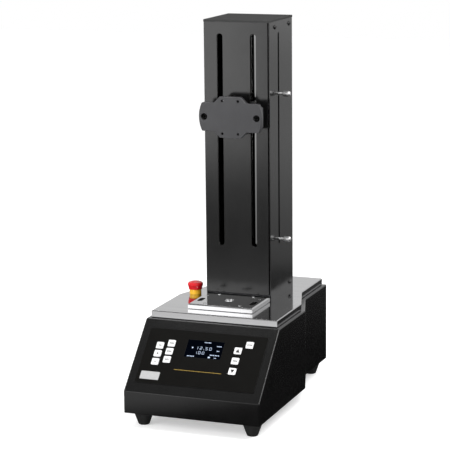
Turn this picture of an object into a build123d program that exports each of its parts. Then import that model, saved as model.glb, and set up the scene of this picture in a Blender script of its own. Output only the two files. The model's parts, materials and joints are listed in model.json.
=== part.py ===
from build123d import *
import os
from math import radians, sin

# A motor-driven single-column force test stand, in millimetres.
# +Z is up, the control panel faces -Y, the origin is under the middle of the base.

# Base
BASE_W = 236.0
BASE_REAR_W = 184.0
BASE_D = 427.0
BASE_H = 136.0
APRON_H = 37.0
WIDE_D = 229.0
TAPER_D = 80.5
SHEET = 2.0
BASE_EDGE_R = 2.0
RIM = 6.6
LEDGE = 16.0
FIT = 0.2

# Feet
FOOT_H = 25.0
FOOT_TOP_R = 18.0
FOOT_BOTTOM_R = 9.0
FOOT_SIDE = 22.8
FOOT_FRONT = 29.5
FOOT_REAR = 22.0

# Deck and specimen table
DECK_T = 12.0
DECK_BEVEL = 1.2
TABLE_INSET = 1.0
TABLE_D = 88.0
TABLE_T = 9.0
TABLE_BEVEL = 2.0
TABLE_FOOT_BEVEL = 1.0
TABLE_BORE_R = 8.0
TABLE_BORE_RIM = 0.8
TABLE_HOLE_R = 2.5
TABLE_HOLE_RIM = 0.6
TABLE_HOLES_X = 62.0
TABLE_HOLES_Y = 65.0
TABLE_PIN_R = 1.75
TABLE_PIN_EDGE = 10.2
TABLE_PIN_Y = 19.6
TABLE_SLOT_L = 23.0
TABLE_SLOT_W = 9.0
TABLE_SLOT_DEEP = 5.0
TABLE_SLOT_EDGE = 10.5
TABLE_SLOT_Y = -9.5
TABLE_SCREW_R = 2.5
TABLE_SCREW_HEAD_R = 4.2
TABLE_SCREW_HEAD_H = 4.0
TABLE_SCREW_BITE = 8.0

# Column
COLUMN_W = 117.0
COLUMN_D = 117.0
COLUMN_H = 477.0
COLUMN_SETBACK = 223.0
COVER_T = 1.6
COVER_EDGE_GAP = 1.8
FRONT_PLATE_T = 5.0
FRONT_PLATE_LIFT = 11.4
TOP_PLATE_T = 4.0
LOWER_BLOCK_H = 26.0
UPPER_BLOCK_H = 20.0
SLOT_X = 29.6
SLOT_W = 10.5
SLOT_TOP_DROP = 23.0
SLOT_L = 361.0
SIDE_SLOT_W = 7.0
SIDE_SLOT_BACK = 45.0

# Guides and lead screw
ROD_EDGE = 20.2
ROD_BACK = 23.0
ROD_R = 8.0
ROD_SEAT = 18.0
SCREW_BACK = 70.0
SCREW_R = 8.0
JOURNAL_R = 7.5
BEARING_R = 16.0
BEARING_W = 9.0
SHIELD_DEEP = 0.6
RING_W = 2.5
PRESS_GAP = 0.05
RUN_GAP = 0.05
SCREW_TAIL = 20.0

# Crosshead
HEAD_DROP = 159.2
CARRIAGE_SIDE_GAP = 10.9
CARRIAGE_H = 46.0
CARRIAGE_FRONT = 7.0
CARRIAGE_WALL = 12.0
BUSH_R = 14.0
BUSH_L = 37.0
NUT_R = 14.0
NUT_FLANGE_R = 22.0
NUT_FLANGE_T = 8.0
ARM_W = 9.0
ARM_H = 40.0
YOKE_W = 104.0
YOKE_H = 36.0
YOKE_T = 10.0
FLAG_T = 2.5
FLAG_W = 8.0
FLAG_H = 20.0

# Mounting bracket on the crosshead
BRACKET_FRONT = 32.0
BRACKET_T = 8.0
BRACKET_END_R = 55.8
BRACKET_EAR_H = 48.0
BRACKET_H = 69.0
BRACKET_TAB_TOP = 37.0
BRACKET_TAB_BASE = 58.0
BRACKET_CORNER_R = 3.0
BRACKET_BEVEL = 0.6
GAUGE_HOLES_X = 28.0
GAUGE_HOLES_Z = 55.0
GAUGE_HOLE_R = 2.25
EAR_SCREW_X = 46.5
EAR_SCREW_R = 3.0
EAR_HEAD_R = 5.0
EAR_HEAD_H = 3.5
EAR_SINK_R = 5.6
EAR_SINK_DEEP = 6.0
EAR_SINK_RIM = 0.4

# Travel stops on the column's right side
UPPER_STOP_RISE = 351.0
LOWER_STOP_RISE = 101.5
STOP_T = 7.0
STOP_W = 16.0
STOP_H = 20.0
TONGUE_GAP = 0.3
TONGUE_H = 8.0
KNOB_SHANK_R = 2.1
KNOB_REACH = 8.2
KNOB_R = 4.7
KNOB_L = 12.8
KNOB_COLLAR_R = 3.9
KNOB_COLLAR_T = 1.4
KNOB_BITE = 6.0
KNOB_FLUTES = 18
KNOB_FLUTE_R = 0.5

# Drive in the base
MOTOR_W = 56.4
MOTOR_H = 56.0
MOTOR_CORNER = 5.0
MOTOR_BOSS_R = 19.0
MOTOR_BOSS_H = 1.6
MOTOR_SHAFT_R = 4.0
MOTOR_DROP = 45.0
BRACKET_PLATE_W = 74.0
BRACKET_PLATE_T = 6.0
POST_R = 5.0
POST_X = 30.0
COUPLING_R = 13.0
COUPLING_L = 30.0
COUPLING_SLIT = 1.2

# Emergency stop: on the deck between column and base side, back from the start of the base's taper
ESTOP_OFF_MIDDLE = 0.75
ESTOP_BACK = 15.0
ESTOP_BARREL_R = 8.0
ESTOP_COLLAR_R = 10.3
ESTOP_COLLAR_H = 7.9
ESTOP_STEM_R = 4.0
ESTOP_STEM_GAP = 1.0
ESTOP_TRAVEL = 4.0
ESTOP_SKIRT_R = 11.8
ESTOP_HEAD_R = 15.0
ESTOP_HEAD_H = 13.9
ESTOP_CAP_H = 4.2
ESTOP_LIP_R = 4.0
ESTOP_CLEAR = 2.0
ESTOP_BLOCK_W = 24.0
ESTOP_BLOCK_H = 34.0
ESTOP_BARREL_L = 8.0

# Control panel on the 45 degree slope: down from the slope's top edge, in from the overlay's sides
OVERLAY_BORDER = 14.2
OVERLAY_H = 103.8
OVERLAY_DOWN = 17.8
OVERLAY_T = 1.0
OVERLAY_CORNER_R = 3.0
DISPLAY_IN = 71.8
DISPLAY_H = 33.0
DISPLAY_DOWN = 33.9
WINDOW_SINK = 0.2
WINDOW_LEDGE = 1.5
MODULE_RIM_X = 8.0
MODULE_RIM_Y = 6.5
MODULE_T = 9.0
KEY_W = 12.6
KEY_H = 12.2
KEY_CORNER_R = 1.6
KEY_PROUD = 0.7
KEY_GAP = 0.3
KEY_FLANGE = 1.0
KEY_FLANGE_T = 0.8
KEY_TRAVEL = 0.5
LEFT_KEY_PITCH = 15.4
RIGHT_KEY_PITCH = 19.2
LEFT_OUTER_IN = 25.5
LEFT_OUTER_DOWN = 50.1
LEFT_INNER_IN = 44.7
LEFT_INNER_DOWN = 44.4
RIGHT_IN = 45.6
RIGHT_DOWN = 47.5
MENU_IN = 28.2
MENU_DOWN = 35.1
BOARD_T = 1.6
BOARD_GAP = 3.2
BOARD_MARGIN = 6.0
SWITCH_W = 6.0
SWITCH_SPARE = 0.1

# Rear panel with mains inlet and switch
REAR_OPEN_W = 120.0
REAR_OPEN_H = 62.0
REAR_OPEN_LIFT = 30.0
REAR_LAP = 8.0
INLET_X = 28.0
INLET_W = 50.0
INLET_H = 28.0
INLET_BODY_W = 30.0
INLET_BODY_H = 22.0
INLET_DEEP = 22.0
SOCKET_W = 24.4
SOCKET_H = 16.8
SOCKET_DEEP = 17.0
SOCKET_CHAMFER = 4.5
PIN_W = 2.0
PIN_H = 4.0
PIN_PITCH = 14.0
PIN_STEP = 4.0
PIN_SHORT = 4.6
ROCKER_X = -28.0
ROCKER_FRAME_W = 22.0
ROCKER_FRAME_H = 30.0
ROCKER_W = 14.0
ROCKER_H = 21.0
ROCKER_DEEP = 16.0
ROCKER_TILT = 7.0
ROCKER_GAP = 0.4
ROCKER_PIN_R = 1.5

# Electronics
SUPPLY_W = 110.0
SUPPLY_D = 58.0
SUPPLY_H = 38.0
SUPPLY_GAP = 8.0
CONTROL_W = 120.0
CONTROL_D = 80.0
CONTROL_LIFT = 10.0
CONTROL_FRONT_GAP = 40.0
STANDOFF_R = 3.0
CHIP_H = 12.0

# Places worked out from the driving dimensions
FRONT_Y = -BASE_D / 2
REAR_Y = BASE_D / 2
TAPER_START_Y = FRONT_Y + WIDE_D
TAPER_END_Y = TAPER_START_Y + TAPER_D
HOUSING_BOTTOM = FOOT_H
HOUSING_TOP = HOUSING_BOTTOM + BASE_H
SLOPE_RISE = BASE_H - APRON_H
SLOPE_TOP_Y = FRONT_Y + SLOPE_RISE
FLOOR_TOP = HOUSING_BOTTOM + SHEET
DECK_TOP = HOUSING_TOP + DECK_T
COLUMN_Y = FRONT_Y + COLUMN_SETBACK
COLUMN_TOP = DECK_TOP + COLUMN_H
BLOCK_TOP = COLUMN_TOP - TOP_PLATE_T
UPPER_BLOCK_Z = BLOCK_TOP - UPPER_BLOCK_H
LOWER_BLOCK_TOP = DECK_TOP + LOWER_BLOCK_H
INNER_W = COLUMN_W - 2 * COVER_T
INNER_BACK_Y = COLUMN_Y + COLUMN_D - COVER_T
BLOCK_FRONT_Y = COLUMN_Y + FRONT_PLATE_T
SLOT_TOP = COLUMN_TOP - SLOT_TOP_DROP
SLOT_MIDDLE = SLOT_TOP - SLOT_L / 2
CARRIAGE_W = INNER_W - 2 * CARRIAGE_SIDE_GAP
ROD_X = CARRIAGE_W / 2 - ROD_EDGE
ROD_Y = COLUMN_Y + ROD_BACK
SCREW_Y = COLUMN_Y + SCREW_BACK
HEAD_Z = COLUMN_TOP - HEAD_DROP
SIDE_SLOT_Y = COLUMN_Y + SIDE_SLOT_BACK
CARRIAGE_FRONT_Y = COLUMN_Y + CARRIAGE_FRONT
BRACKET_Y = COLUMN_Y - BRACKET_FRONT
YOKE_Y = BRACKET_Y + BRACKET_T
TABLE_W = COLUMN_W - 2 * TABLE_INSET
TABLE_Y = COLUMN_Y - TABLE_D / 2
TABLE_TOP = DECK_TOP + TABLE_T
TABLE_PIN_X = TABLE_W / 2 - TABLE_PIN_EDGE
TABLE_SLOT_X = TABLE_W / 2 - TABLE_SLOT_EDGE
ESTOP_X = ESTOP_OFF_MIDDLE - (BASE_W + COLUMN_W) / 4
ESTOP_Y = TAPER_START_Y + ESTOP_BACK
SCREW_BOTTOM = HOUSING_TOP - SCREW_TAIL
MOTOR_TOP = HOUSING_TOP - MOTOR_DROP
PLATE_TOP = MOTOR_TOP + BRACKET_PLATE_T
PANEL = Plane(origin=(0, SLOPE_TOP_Y, HOUSING_TOP), x_dir=(1, 0, 0), z_dir=(0, -1, 1)).location
OVERLAY_W = BASE_W - 2 * OVERLAY_BORDER
DISPLAY_W = OVERLAY_W - 2 * DISPLAY_IN
LEFT_OUTER_X = LEFT_OUTER_IN - OVERLAY_W / 2
LEFT_INNER_X = LEFT_INNER_IN - OVERLAY_W / 2
RIGHT_X = OVERLAY_W / 2 - RIGHT_IN
MENU_X = OVERLAY_W / 2 - MENU_IN
REAR_OPEN_Z = HOUSING_BOTTOM + REAR_OPEN_LIFT + REAR_OPEN_H / 2
REAR_PLATE_Y = REAR_Y - SHEET
BOARD_BACK = SHEET + BOARD_GAP + BOARD_T
BIG = 2 * (BASE_D + COLUMN_H)

# Key places: name, x, distance down the slope
KEYS = [(f"key_left_outer_{i + 1}", LEFT_OUTER_X, LEFT_OUTER_DOWN + i * LEFT_KEY_PITCH) for i in range(3)]
KEYS += [(f"key_left_inner_{i + 1}", LEFT_INNER_X, LEFT_INNER_DOWN + i * LEFT_KEY_PITCH) for i in range(3)]
KEYS += [
    ("key_up", RIGHT_X, RIGHT_DOWN),
    ("key_stop", RIGHT_X, RIGHT_DOWN + RIGHT_KEY_PITCH),
    ("key_down", RIGHT_X, RIGHT_DOWN + 2 * RIGHT_KEY_PITCH),
    ("key_menu", MENU_X, MENU_DOWN),
]


def block(x, y, z):
    """Box between two limits on each axis."""
    size = [high - low for low, high in (x, y, z)]
    middle = [(low + high) / 2 for low, high in (x, y, z)]
    return Pos(*middle) * Box(*size)


def upright(x, y, z, radius):
    """Vertical cylinder between two heights."""
    low, high = z
    return Pos(x, y, (low + high) / 2) * Cylinder(radius, high - low)


def crosswise(x, y, z, radius):
    """Cylinder along X between two limits."""
    low, high = x
    return Pos((low + high) / 2, y, z) * Rot(0, 90, 0) * Cylinder(radius, high - low)


def fore_and_aft(x, y, z, radius):
    """Cylinder along Y between two limits."""
    low, high = y
    return Pos(x, (low + high) / 2, z) * Rot(90, 0, 0) * Cylinder(radius, high - low)


def both_sides(x):
    return (-x, x)


def on_panel(x, down, lift, width, height, corner=0.0):
    """Plate on the slope between two heights above the sheet, with rounded corners."""
    low, high = lift
    shape = RectangleRounded(width, height, corner) if corner else Rectangle(width, height)
    return PANEL * Pos(x, -down, low) * extrude(shape, high - low)


# Base
def base_outline(front_y, inset):
    """Plan of the base from front_y to the rear, pulled in all round."""
    wide = BASE_W / 2
    narrow = BASE_REAR_W / 2
    right = [(wide, front_y), (wide, TAPER_START_Y), (narrow, TAPER_END_Y), (narrow, REAR_Y)]
    left = [(-x, y) for x, y in reversed(right)]
    face = make_face(Polyline(*right, *left, close=True))
    return offset(face, -inset, kind=Kind.INTERSECTION) if inset else face


def housing_form(inset):
    """The base's folded form, with every wall moved in by inset and the bottom open."""
    prism = Pos(0, 0, HOUSING_BOTTOM) * extrude(base_outline(FRONT_Y, inset), BASE_H - inset)
    above_slope = PANEL * Pos(0, 0, BIG / 2 - inset) * Box(BIG, BIG, BIG)
    return prism - above_slope


def base_housing():
    outer = housing_form(0.0)
    folds = outer.edges().filter_by(lambda edge: edge.center().Z > HOUSING_BOTTOM + FIT)
    shell = fillet(folds, BASE_EDGE_R) - housing_form(SHEET)
    well = extrude(base_outline(SLOPE_TOP_Y, RIM + LEDGE), 3 * SHEET)
    shell -= Pos(0, 0, HOUSING_TOP - 2 * SHEET) * well
    estop_half = ESTOP_BLOCK_W / 2 + ESTOP_CLEAR
    estop_x = (ESTOP_X - estop_half, ESTOP_X + 2 * estop_half)
    estop_y = (ESTOP_Y - estop_half, ESTOP_Y + estop_half)
    shell -= block(estop_x, estop_y, (HOUSING_TOP - 2 * SHEET, HOUSING_TOP + SHEET))
    through = (-2 * SHEET, SHEET)
    view = (DISPLAY_W - 2 * WINDOW_LEDGE, DISPLAY_H - 2 * WINDOW_LEDGE)
    shell -= on_panel(0, DISPLAY_DOWN + DISPLAY_H / 2, through, *view)
    for _, x, down in KEYS:
        shell -= on_panel(x, down, through, KEY_W + 2 * KEY_GAP, KEY_H + 2 * KEY_GAP)
    rear_height = (REAR_OPEN_Z - REAR_OPEN_H / 2, REAR_OPEN_Z + REAR_OPEN_H / 2)
    shell -= block(both_sides(REAR_OPEN_W / 2), (REAR_Y - 2 * SHEET, REAR_Y + SHEET), rear_height)
    return shell


def bottom_plate():
    return Pos(0, 0, HOUSING_BOTTOM) * extrude(base_outline(FRONT_Y, SHEET + FIT), SHEET)


def foot(x, y):
    profile = Polyline((0, 0), (FOOT_BOTTOM_R, 0), (FOOT_TOP_R, FOOT_H), (0, FOOT_H), close=True)
    cone = revolve(Plane.XZ * make_face(profile), Axis.Z)
    rounded = fillet(cone.edges().sort_by(Axis.Z)[0], BASE_EDGE_R)
    return Pos(x, y, 0) * rounded


def feet():
    front = (BASE_W / 2 - FOOT_SIDE, FRONT_Y + FOOT_FRONT)
    rear = (BASE_REAR_W / 2 - FOOT_SIDE, REAR_Y - FOOT_REAR)
    return {
        "foot_front_left": foot(-front[0], front[1]),
        "foot_front_right": foot(*front),
        "foot_rear_left": foot(-rear[0], rear[1]),
        "foot_rear_right": foot(*rear),
    }


def rear_panel():
    width = REAR_OPEN_W / 2 + REAR_LAP
    height = REAR_OPEN_H / 2 + REAR_LAP
    plate = block(
        both_sides(width),
        (REAR_PLATE_Y - SHEET, REAR_PLATE_Y),
        (REAR_OPEN_Z - height, REAR_OPEN_Z + height),
    )
    cut = (REAR_PLATE_Y - 2 * SHEET, REAR_Y)
    openings = (
        (INLET_X, INLET_BODY_W / 2 + FIT, INLET_BODY_H / 2 + FIT),
        (ROCKER_X, ROCKER_W / 2 + SHEET + FIT, ROCKER_H / 2 + SHEET + FIT),
    )
    for x, half_w, half_h in openings:
        plate -= block((x - half_w, x + half_w), cut, (REAR_OPEN_Z - half_h, REAR_OPEN_Z + half_h))
    return plate


def rear_plate(x, width, height, y, corner):
    """Upright plate with rounded corners, facing the rear between two depths."""
    low, high = y
    shape = Plane.XZ * RectangleRounded(width, height, corner)
    return Pos(x, high, REAR_OPEN_Z) * extrude(shape, high - low)


def power_inlet():
    flange = rear_plate(INLET_X, INLET_W, INLET_H, (REAR_PLATE_Y, REAR_Y), SHEET)
    half_w = INLET_BODY_W / 2
    half_h = INLET_BODY_H / 2
    body_y = (REAR_Y - INLET_DEEP, REAR_PLATE_Y)
    inlet = flange + block(
        (INLET_X - half_w, INLET_X + half_w), body_y, (REAR_OPEN_Z - half_h, REAR_OPEN_Z + half_h)
    )
    socket = Plane.XZ * Rectangle(SOCKET_W, SOCKET_H)
    cavity = Pos(INLET_X, REAR_Y, REAR_OPEN_Z) * extrude(socket, SOCKET_DEEP)
    upper = cavity.edges().filter_by(Axis.Y).group_by(Axis.Z)[-1]
    inlet -= chamfer(upper, SOCKET_CHAMFER)
    pin_y = (REAR_Y - SOCKET_DEEP - FIT, REAR_Y - PIN_SHORT)
    for x, z in ((-PIN_PITCH / 2, -PIN_STEP / 2), (0, PIN_STEP / 2), (PIN_PITCH / 2, -PIN_STEP / 2)):
        x += INLET_X
        z += REAR_OPEN_Z
        inlet += block((x - PIN_W / 2, x + PIN_W / 2), pin_y, (z - PIN_H / 2, z + PIN_H / 2))
    return inlet


def switch_body():
    frame = rear_plate(ROCKER_X, ROCKER_FRAME_W, ROCKER_FRAME_H, (REAR_PLATE_Y, REAR_Y), SHEET)
    deep = (REAR_Y - ROCKER_DEEP - SHEET, REAR_PLATE_Y)
    half_w = ROCKER_W / 2 + SHEET
    half_h = ROCKER_H / 2 + SHEET
    frame += block(
        (ROCKER_X - half_w, ROCKER_X + half_w), deep, (REAR_OPEN_Z - half_h, REAR_OPEN_Z + half_h)
    )
    half_w = ROCKER_W / 2 + ROCKER_GAP
    half_h = ROCKER_H / 2 + ROCKER_GAP
    frame -= block(
        (ROCKER_X - half_w, ROCKER_X + half_w),
        (REAR_Y - ROCKER_DEEP, REAR_Y + SHEET),
        (REAR_OPEN_Z - half_h, REAR_OPEN_Z + half_h),
    )
    pivot_x = (ROCKER_X - half_w - SHEET / 2, ROCKER_X + half_w + SHEET / 2)
    return frame - crosswise(pivot_x, rocker_pivot_y(), REAR_OPEN_Z, ROCKER_PIN_R + RUN_GAP)


def rocker_pivot_y():
    return REAR_Y - ROCKER_DEEP / 2


def power_rocker():
    """Rocker in its off position: a shallow V face turned about its pins."""
    half = ROCKER_H / 2
    face_y = ROCKER_DEEP / 2 - SHEET
    rise = half * sin(radians(ROCKER_TILT))
    face = [(face_y, rise - half), (face_y - rise, 0), (face_y, half - rise)]
    profile = Polyline(*face, (0, half / 2), (0, -half / 2), close=True)
    rocker = extrude(Plane.YZ * make_face(profile), ROCKER_W / 2, both=True)
    pin_half = ROCKER_W / 2 + ROCKER_GAP + SHEET / 2 - FIT
    rocker += crosswise(both_sides(pin_half), 0, 0, ROCKER_PIN_R)
    return Pos(ROCKER_X, rocker_pivot_y(), REAR_OPEN_Z) * Rot(-ROCKER_TILT, 0, 0) * rocker


# Deck and table
def deck_plate():
    deck = Pos(0, 0, HOUSING_TOP) * extrude(base_outline(SLOPE_TOP_Y, RIM), DECK_T)
    rims = deck.edges().group_by(Axis.Z)
    deck = chamfer(rims[0] + rims[-1], DECK_BEVEL)
    through = (HOUSING_TOP - FIT, DECK_TOP + FIT)
    deck -= upright(ESTOP_X, ESTOP_Y, through, ESTOP_BARREL_R + FIT)
    deck -= upright(0, SCREW_Y, through, COUPLING_R + FIT)
    for side in (-1, 1):
        screw_y = TABLE_Y + TABLE_SLOT_Y
        deck -= upright(side * TABLE_SLOT_X, screw_y, (DECK_TOP - TABLE_SCREW_BITE, DECK_TOP), TABLE_SCREW_R)
    return deck


def table_hole(x, y, radius, rim):
    """Hole through the table with a bevelled rim at the top."""
    hole = upright(x, TABLE_Y + y, (DECK_TOP - FIT, TABLE_TOP + FIT), radius)
    return hole + Pos(x, TABLE_Y + y, TABLE_TOP - rim / 2) * Cone(radius, radius + rim, rim)


def specimen_table():
    depth = (TABLE_Y - TABLE_D / 2, TABLE_Y + TABLE_D / 2)
    table = block(both_sides(TABLE_W / 2), depth, (DECK_TOP, TABLE_TOP))
    table = chamfer(table.edges().group_by(Axis.Z)[-1], TABLE_BEVEL)
    table = chamfer(table.edges().group_by(Axis.Z)[0], TABLE_FOOT_BEVEL)
    table -= table_hole(0, 0, TABLE_BORE_R, TABLE_BORE_RIM)
    for x in both_sides(TABLE_HOLES_X / 2):
        for y in both_sides(TABLE_HOLES_Y / 2):
            table -= table_hole(x, y, TABLE_HOLE_R, TABLE_HOLE_RIM)
    for x in both_sides(TABLE_PIN_X):
        table -= table_hole(x, TABLE_PIN_Y, TABLE_PIN_R, TABLE_HOLE_RIM)
    through = (DECK_TOP - FIT, TABLE_TOP + FIT)
    slot = SlotOverall(TABLE_SLOT_L, TABLE_SLOT_W, rotation=90)
    for x in both_sides(TABLE_SLOT_X):
        place = Pos(x, TABLE_Y + TABLE_SLOT_Y, TABLE_TOP - TABLE_SLOT_DEEP)
        table -= place * extrude(slot, TABLE_T)
        table -= upright(x, TABLE_Y + TABLE_SLOT_Y, through, TABLE_SCREW_R + FIT)
    return table


def table_screws():
    screws = []
    seat = TABLE_TOP - TABLE_SLOT_DEEP
    for x in both_sides(TABLE_SLOT_X):
        y = TABLE_Y + TABLE_SLOT_Y
        head = upright(x, y, (seat, seat + TABLE_SCREW_HEAD_H), TABLE_SCREW_HEAD_R)
        shank = upright(x, y, (DECK_TOP - TABLE_SCREW_BITE, seat), TABLE_SCREW_R - FIT / 2)
        screws.append(head + shank)
    return Compound(children=screws)


# Column
def column_front_plate():
    """Plate with the crosshead's two slots, close to the cover on the left and open on the right."""
    half = INNER_W / 2
    width = (FIT - half, half - COVER_EDGE_GAP)
    bottom = DECK_TOP + FRONT_PLATE_LIFT
    plate = block(width, (COLUMN_Y, BLOCK_FRONT_Y), (bottom, BLOCK_TOP))
    slot = Plane.XZ * SlotOverall(SLOT_L, SLOT_W, rotation=90)
    for x in both_sides(SLOT_X):
        plate -= Pos(x, BLOCK_FRONT_Y + FIT, SLOT_MIDDLE) * extrude(slot, FRONT_PLATE_T + 2 * FIT)
    return plate


def column_cover():
    """U-shaped sheet round the sides and back, with the stop slot in its right side."""
    depth = (COLUMN_Y + COVER_T, COLUMN_Y + COLUMN_D)
    height = (DECK_TOP, BLOCK_TOP)
    outer = block(both_sides(COLUMN_W / 2), depth, height)
    back_edges = outer.edges().filter_by(Axis.Z).group_by(Axis.Y)[-1]
    cover = fillet(back_edges, BASE_EDGE_R)
    cover -= block(both_sides(INNER_W / 2), (COLUMN_Y, INNER_BACK_Y), (DECK_TOP - FIT, BLOCK_TOP + FIT))
    slot = Plane.YZ * SlotOverall(SLOT_L, SIDE_SLOT_W, rotation=90)
    cover -= Pos(INNER_W / 2 - FIT, SIDE_SLOT_Y, SLOT_MIDDLE) * extrude(slot, COVER_T + 2 * FIT)
    return cover


def column_top_plate():
    depth = (COLUMN_Y, COLUMN_Y + COLUMN_D)
    plate = block(both_sides(COLUMN_W / 2), depth, (BLOCK_TOP, COLUMN_TOP))
    return chamfer(plate.edges().group_by(Axis.Z)[-1], BRACKET_BEVEL)


def bearing_block(bottom, top, bearing_z, rod_z):
    """Block across the column that holds a bearing and one end of each guide rod."""
    body = block(both_sides(INNER_W / 2), (BLOCK_FRONT_Y, INNER_BACK_Y), (bottom, top))
    body -= upright(0, SCREW_Y, bearing_z, BEARING_R + PRESS_GAP)
    body -= upright(0, SCREW_Y, (bottom - FIT, top + FIT), BEARING_R - RING_W)
    for x in both_sides(ROD_X):
        body -= upright(x, ROD_Y, rod_z, ROD_R + PRESS_GAP)
    return body


def lower_bearing_z():
    return (LOWER_BLOCK_TOP - BEARING_W, LOWER_BLOCK_TOP)


def upper_bearing_z():
    return (UPPER_BLOCK_Z, UPPER_BLOCK_Z + BEARING_W)


def rod_span():
    return (LOWER_BLOCK_TOP - ROD_SEAT, UPPER_BLOCK_Z + UPPER_BLOCK_H - TOP_PLATE_T)


def lower_bearing_block():
    low, high = lower_bearing_z()
    rod_z = (rod_span()[0], LOWER_BLOCK_TOP + FIT)
    return bearing_block(DECK_TOP, LOWER_BLOCK_TOP, (low, high + FIT), rod_z)


def upper_bearing_block():
    low, high = upper_bearing_z()
    rod_z = (UPPER_BLOCK_Z - FIT, rod_span()[1])
    return bearing_block(UPPER_BLOCK_Z, BLOCK_TOP, (low - FIT, high), rod_z)


def bearing(z):
    """Ball bearing with its two shields sunk between the rings."""
    low, high = z
    ring = upright(0, SCREW_Y, z, BEARING_R) - upright(0, SCREW_Y, z, JOURNAL_R + RUN_GAP)
    shield = Circle(BEARING_R - RING_W) - Circle(JOURNAL_R + RUN_GAP + RING_W)
    for level in (low, high - SHIELD_DEEP):
        ring -= Pos(0, SCREW_Y, level) * extrude(shield, SHIELD_DEEP)
    return ring


def guide_rod(x):
    rod = upright(x, ROD_Y, rod_span(), ROD_R)
    return chamfer(rod.edges(), BRACKET_BEVEL)


def lead_screw():
    """Screw at its outside diameter, with a turned journal at each end."""
    low = lower_bearing_z()[1]
    high = upper_bearing_z()[0]
    screw = upright(0, SCREW_Y, (low, high), SCREW_R)
    screw += upright(0, SCREW_Y, (high, BLOCK_TOP - TOP_PLATE_T), JOURNAL_R)
    return screw + upright(0, SCREW_Y, (SCREW_BOTTOM, low), JOURNAL_R)


# Crosshead
def at_head(low, high):
    return (HEAD_Z + low, HEAD_Z + high)


def carriage():
    """T-shaped block: the front carries the guide bushes, the stem at the back the lead nut."""
    height = at_head(-CARRIAGE_H / 2, CARRIAGE_H / 2)
    bush_back = ROD_Y + BUSH_R + CARRIAGE_WALL
    nut_back = SCREW_Y + NUT_FLANGE_R
    body = block(both_sides(CARRIAGE_W / 2), (CARRIAGE_FRONT_Y, bush_back), height)
    body += block(both_sides(NUT_FLANGE_R), (bush_back, nut_back), height)
    stem = body.edges().filter_by(Axis.Z).group_by(Axis.Y)[-1]
    body = fillet(stem, NUT_FLANGE_R / 2)
    through = at_head(-CARRIAGE_H, CARRIAGE_H)
    body -= upright(0, SCREW_Y, through, NUT_R + PRESS_GAP)
    for x in both_sides(ROD_X):
        body -= upright(x, ROD_Y, through, BUSH_R + PRESS_GAP)
    return body


def bushing(x):
    height = at_head(-BUSH_L / 2, BUSH_L / 2)
    return upright(x, ROD_Y, height, BUSH_R) - upright(x, ROD_Y, height, ROD_R + RUN_GAP)


def lead_nut():
    bottom = -CARRIAGE_H / 2
    nut = upright(0, SCREW_Y, at_head(bottom, CARRIAGE_H / 2), NUT_R)
    nut += upright(0, SCREW_Y, at_head(bottom - NUT_FLANGE_T, bottom), NUT_FLANGE_R)
    return nut - upright(0, SCREW_Y, at_head(-CARRIAGE_H, CARRIAGE_H), SCREW_R + RUN_GAP)


def crosshead_yoke():
    """Crossbar in front of the column with two arms that pass through its slots."""
    bar_back = YOKE_Y + YOKE_T
    yoke = block(both_sides(YOKE_W / 2), (YOKE_Y, bar_back), at_head(-YOKE_H / 2, YOKE_H / 2))
    ends = yoke.edges().filter_by(Axis.Y)
    yoke = fillet(ends, BRACKET_CORNER_R)
    for x in both_sides(SLOT_X):
        arm_x = (x - ARM_W / 2, x + ARM_W / 2)
        yoke += block(arm_x, (YOKE_Y, CARRIAGE_FRONT_Y), at_head(-ARM_H / 2, ARM_H / 2))
    for x in both_sides(EAR_SCREW_X):
        yoke -= fore_and_aft(x, (YOKE_Y - FIT, bar_back + FIT), HEAD_Z, EAR_SCREW_R)
    return yoke


def bracket_outline():
    """Plate with ears rounded about its own centre and a tapered tab above and below."""
    ears = Circle(BRACKET_END_R) & Rectangle(2 * BRACKET_END_R, BRACKET_EAR_H)
    base = BRACKET_TAB_BASE / 2
    top = BRACKET_TAB_TOP / 2
    ear = BRACKET_EAR_H / 2
    high = BRACKET_H / 2
    upper = [(base, ear), (top, high), (-top, high), (-base, ear)]
    lower = [(-x, -z) for x, z in upper]
    return ears + make_face(Polyline(*upper, *lower, close=True))


def mounting_bracket():
    plate = Pos(0, YOKE_Y, HEAD_Z) * extrude(Plane.XZ * bracket_outline(), BRACKET_T)
    plate = fillet(plate.edges().filter_by(Axis.Y), BRACKET_CORNER_R)
    plate = chamfer(plate.edges().group_by(Axis.Y)[0], BRACKET_BEVEL)
    through = (BRACKET_Y - FIT, YOKE_Y + FIT)
    for x in both_sides(GAUGE_HOLES_X / 2):
        for z in both_sides(GAUGE_HOLES_Z / 2):
            plate -= fore_and_aft(x, through, HEAD_Z + z, GAUGE_HOLE_R)
    for x in both_sides(EAR_SCREW_X):
        plate -= fore_and_aft(x, through, HEAD_Z, EAR_SCREW_R + FIT)
        plate -= fore_and_aft(x, (BRACKET_Y - FIT, BRACKET_Y + EAR_SINK_DEEP), HEAD_Z, EAR_SINK_R)
        rim = Rot(90, 0, 0) * Cone(EAR_SINK_R, EAR_SINK_R + EAR_SINK_RIM, EAR_SINK_RIM)
        plate -= Pos(x, BRACKET_Y + EAR_SINK_RIM / 2, HEAD_Z) * rim
    return plate


def bracket_screws():
    screws = []
    seat = BRACKET_Y + EAR_SINK_DEEP
    for x in both_sides(EAR_SCREW_X):
        head = fore_and_aft(x, (seat - EAR_HEAD_H, seat), HEAD_Z, EAR_HEAD_R)
        shank = fore_and_aft(x, (seat, YOKE_Y + YOKE_T), HEAD_Z, EAR_SCREW_R - FIT / 2)
        screws.append(head + shank)
    return Compound(children=screws)


def sensor_flag():
    side = CARRIAGE_W / 2
    depth = (SIDE_SLOT_Y - FLAG_W / 2, SIDE_SLOT_Y + FLAG_W / 2)
    return block((side, side + FLAG_T), depth, at_head(-FLAG_H / 2, FLAG_H / 2))


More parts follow.
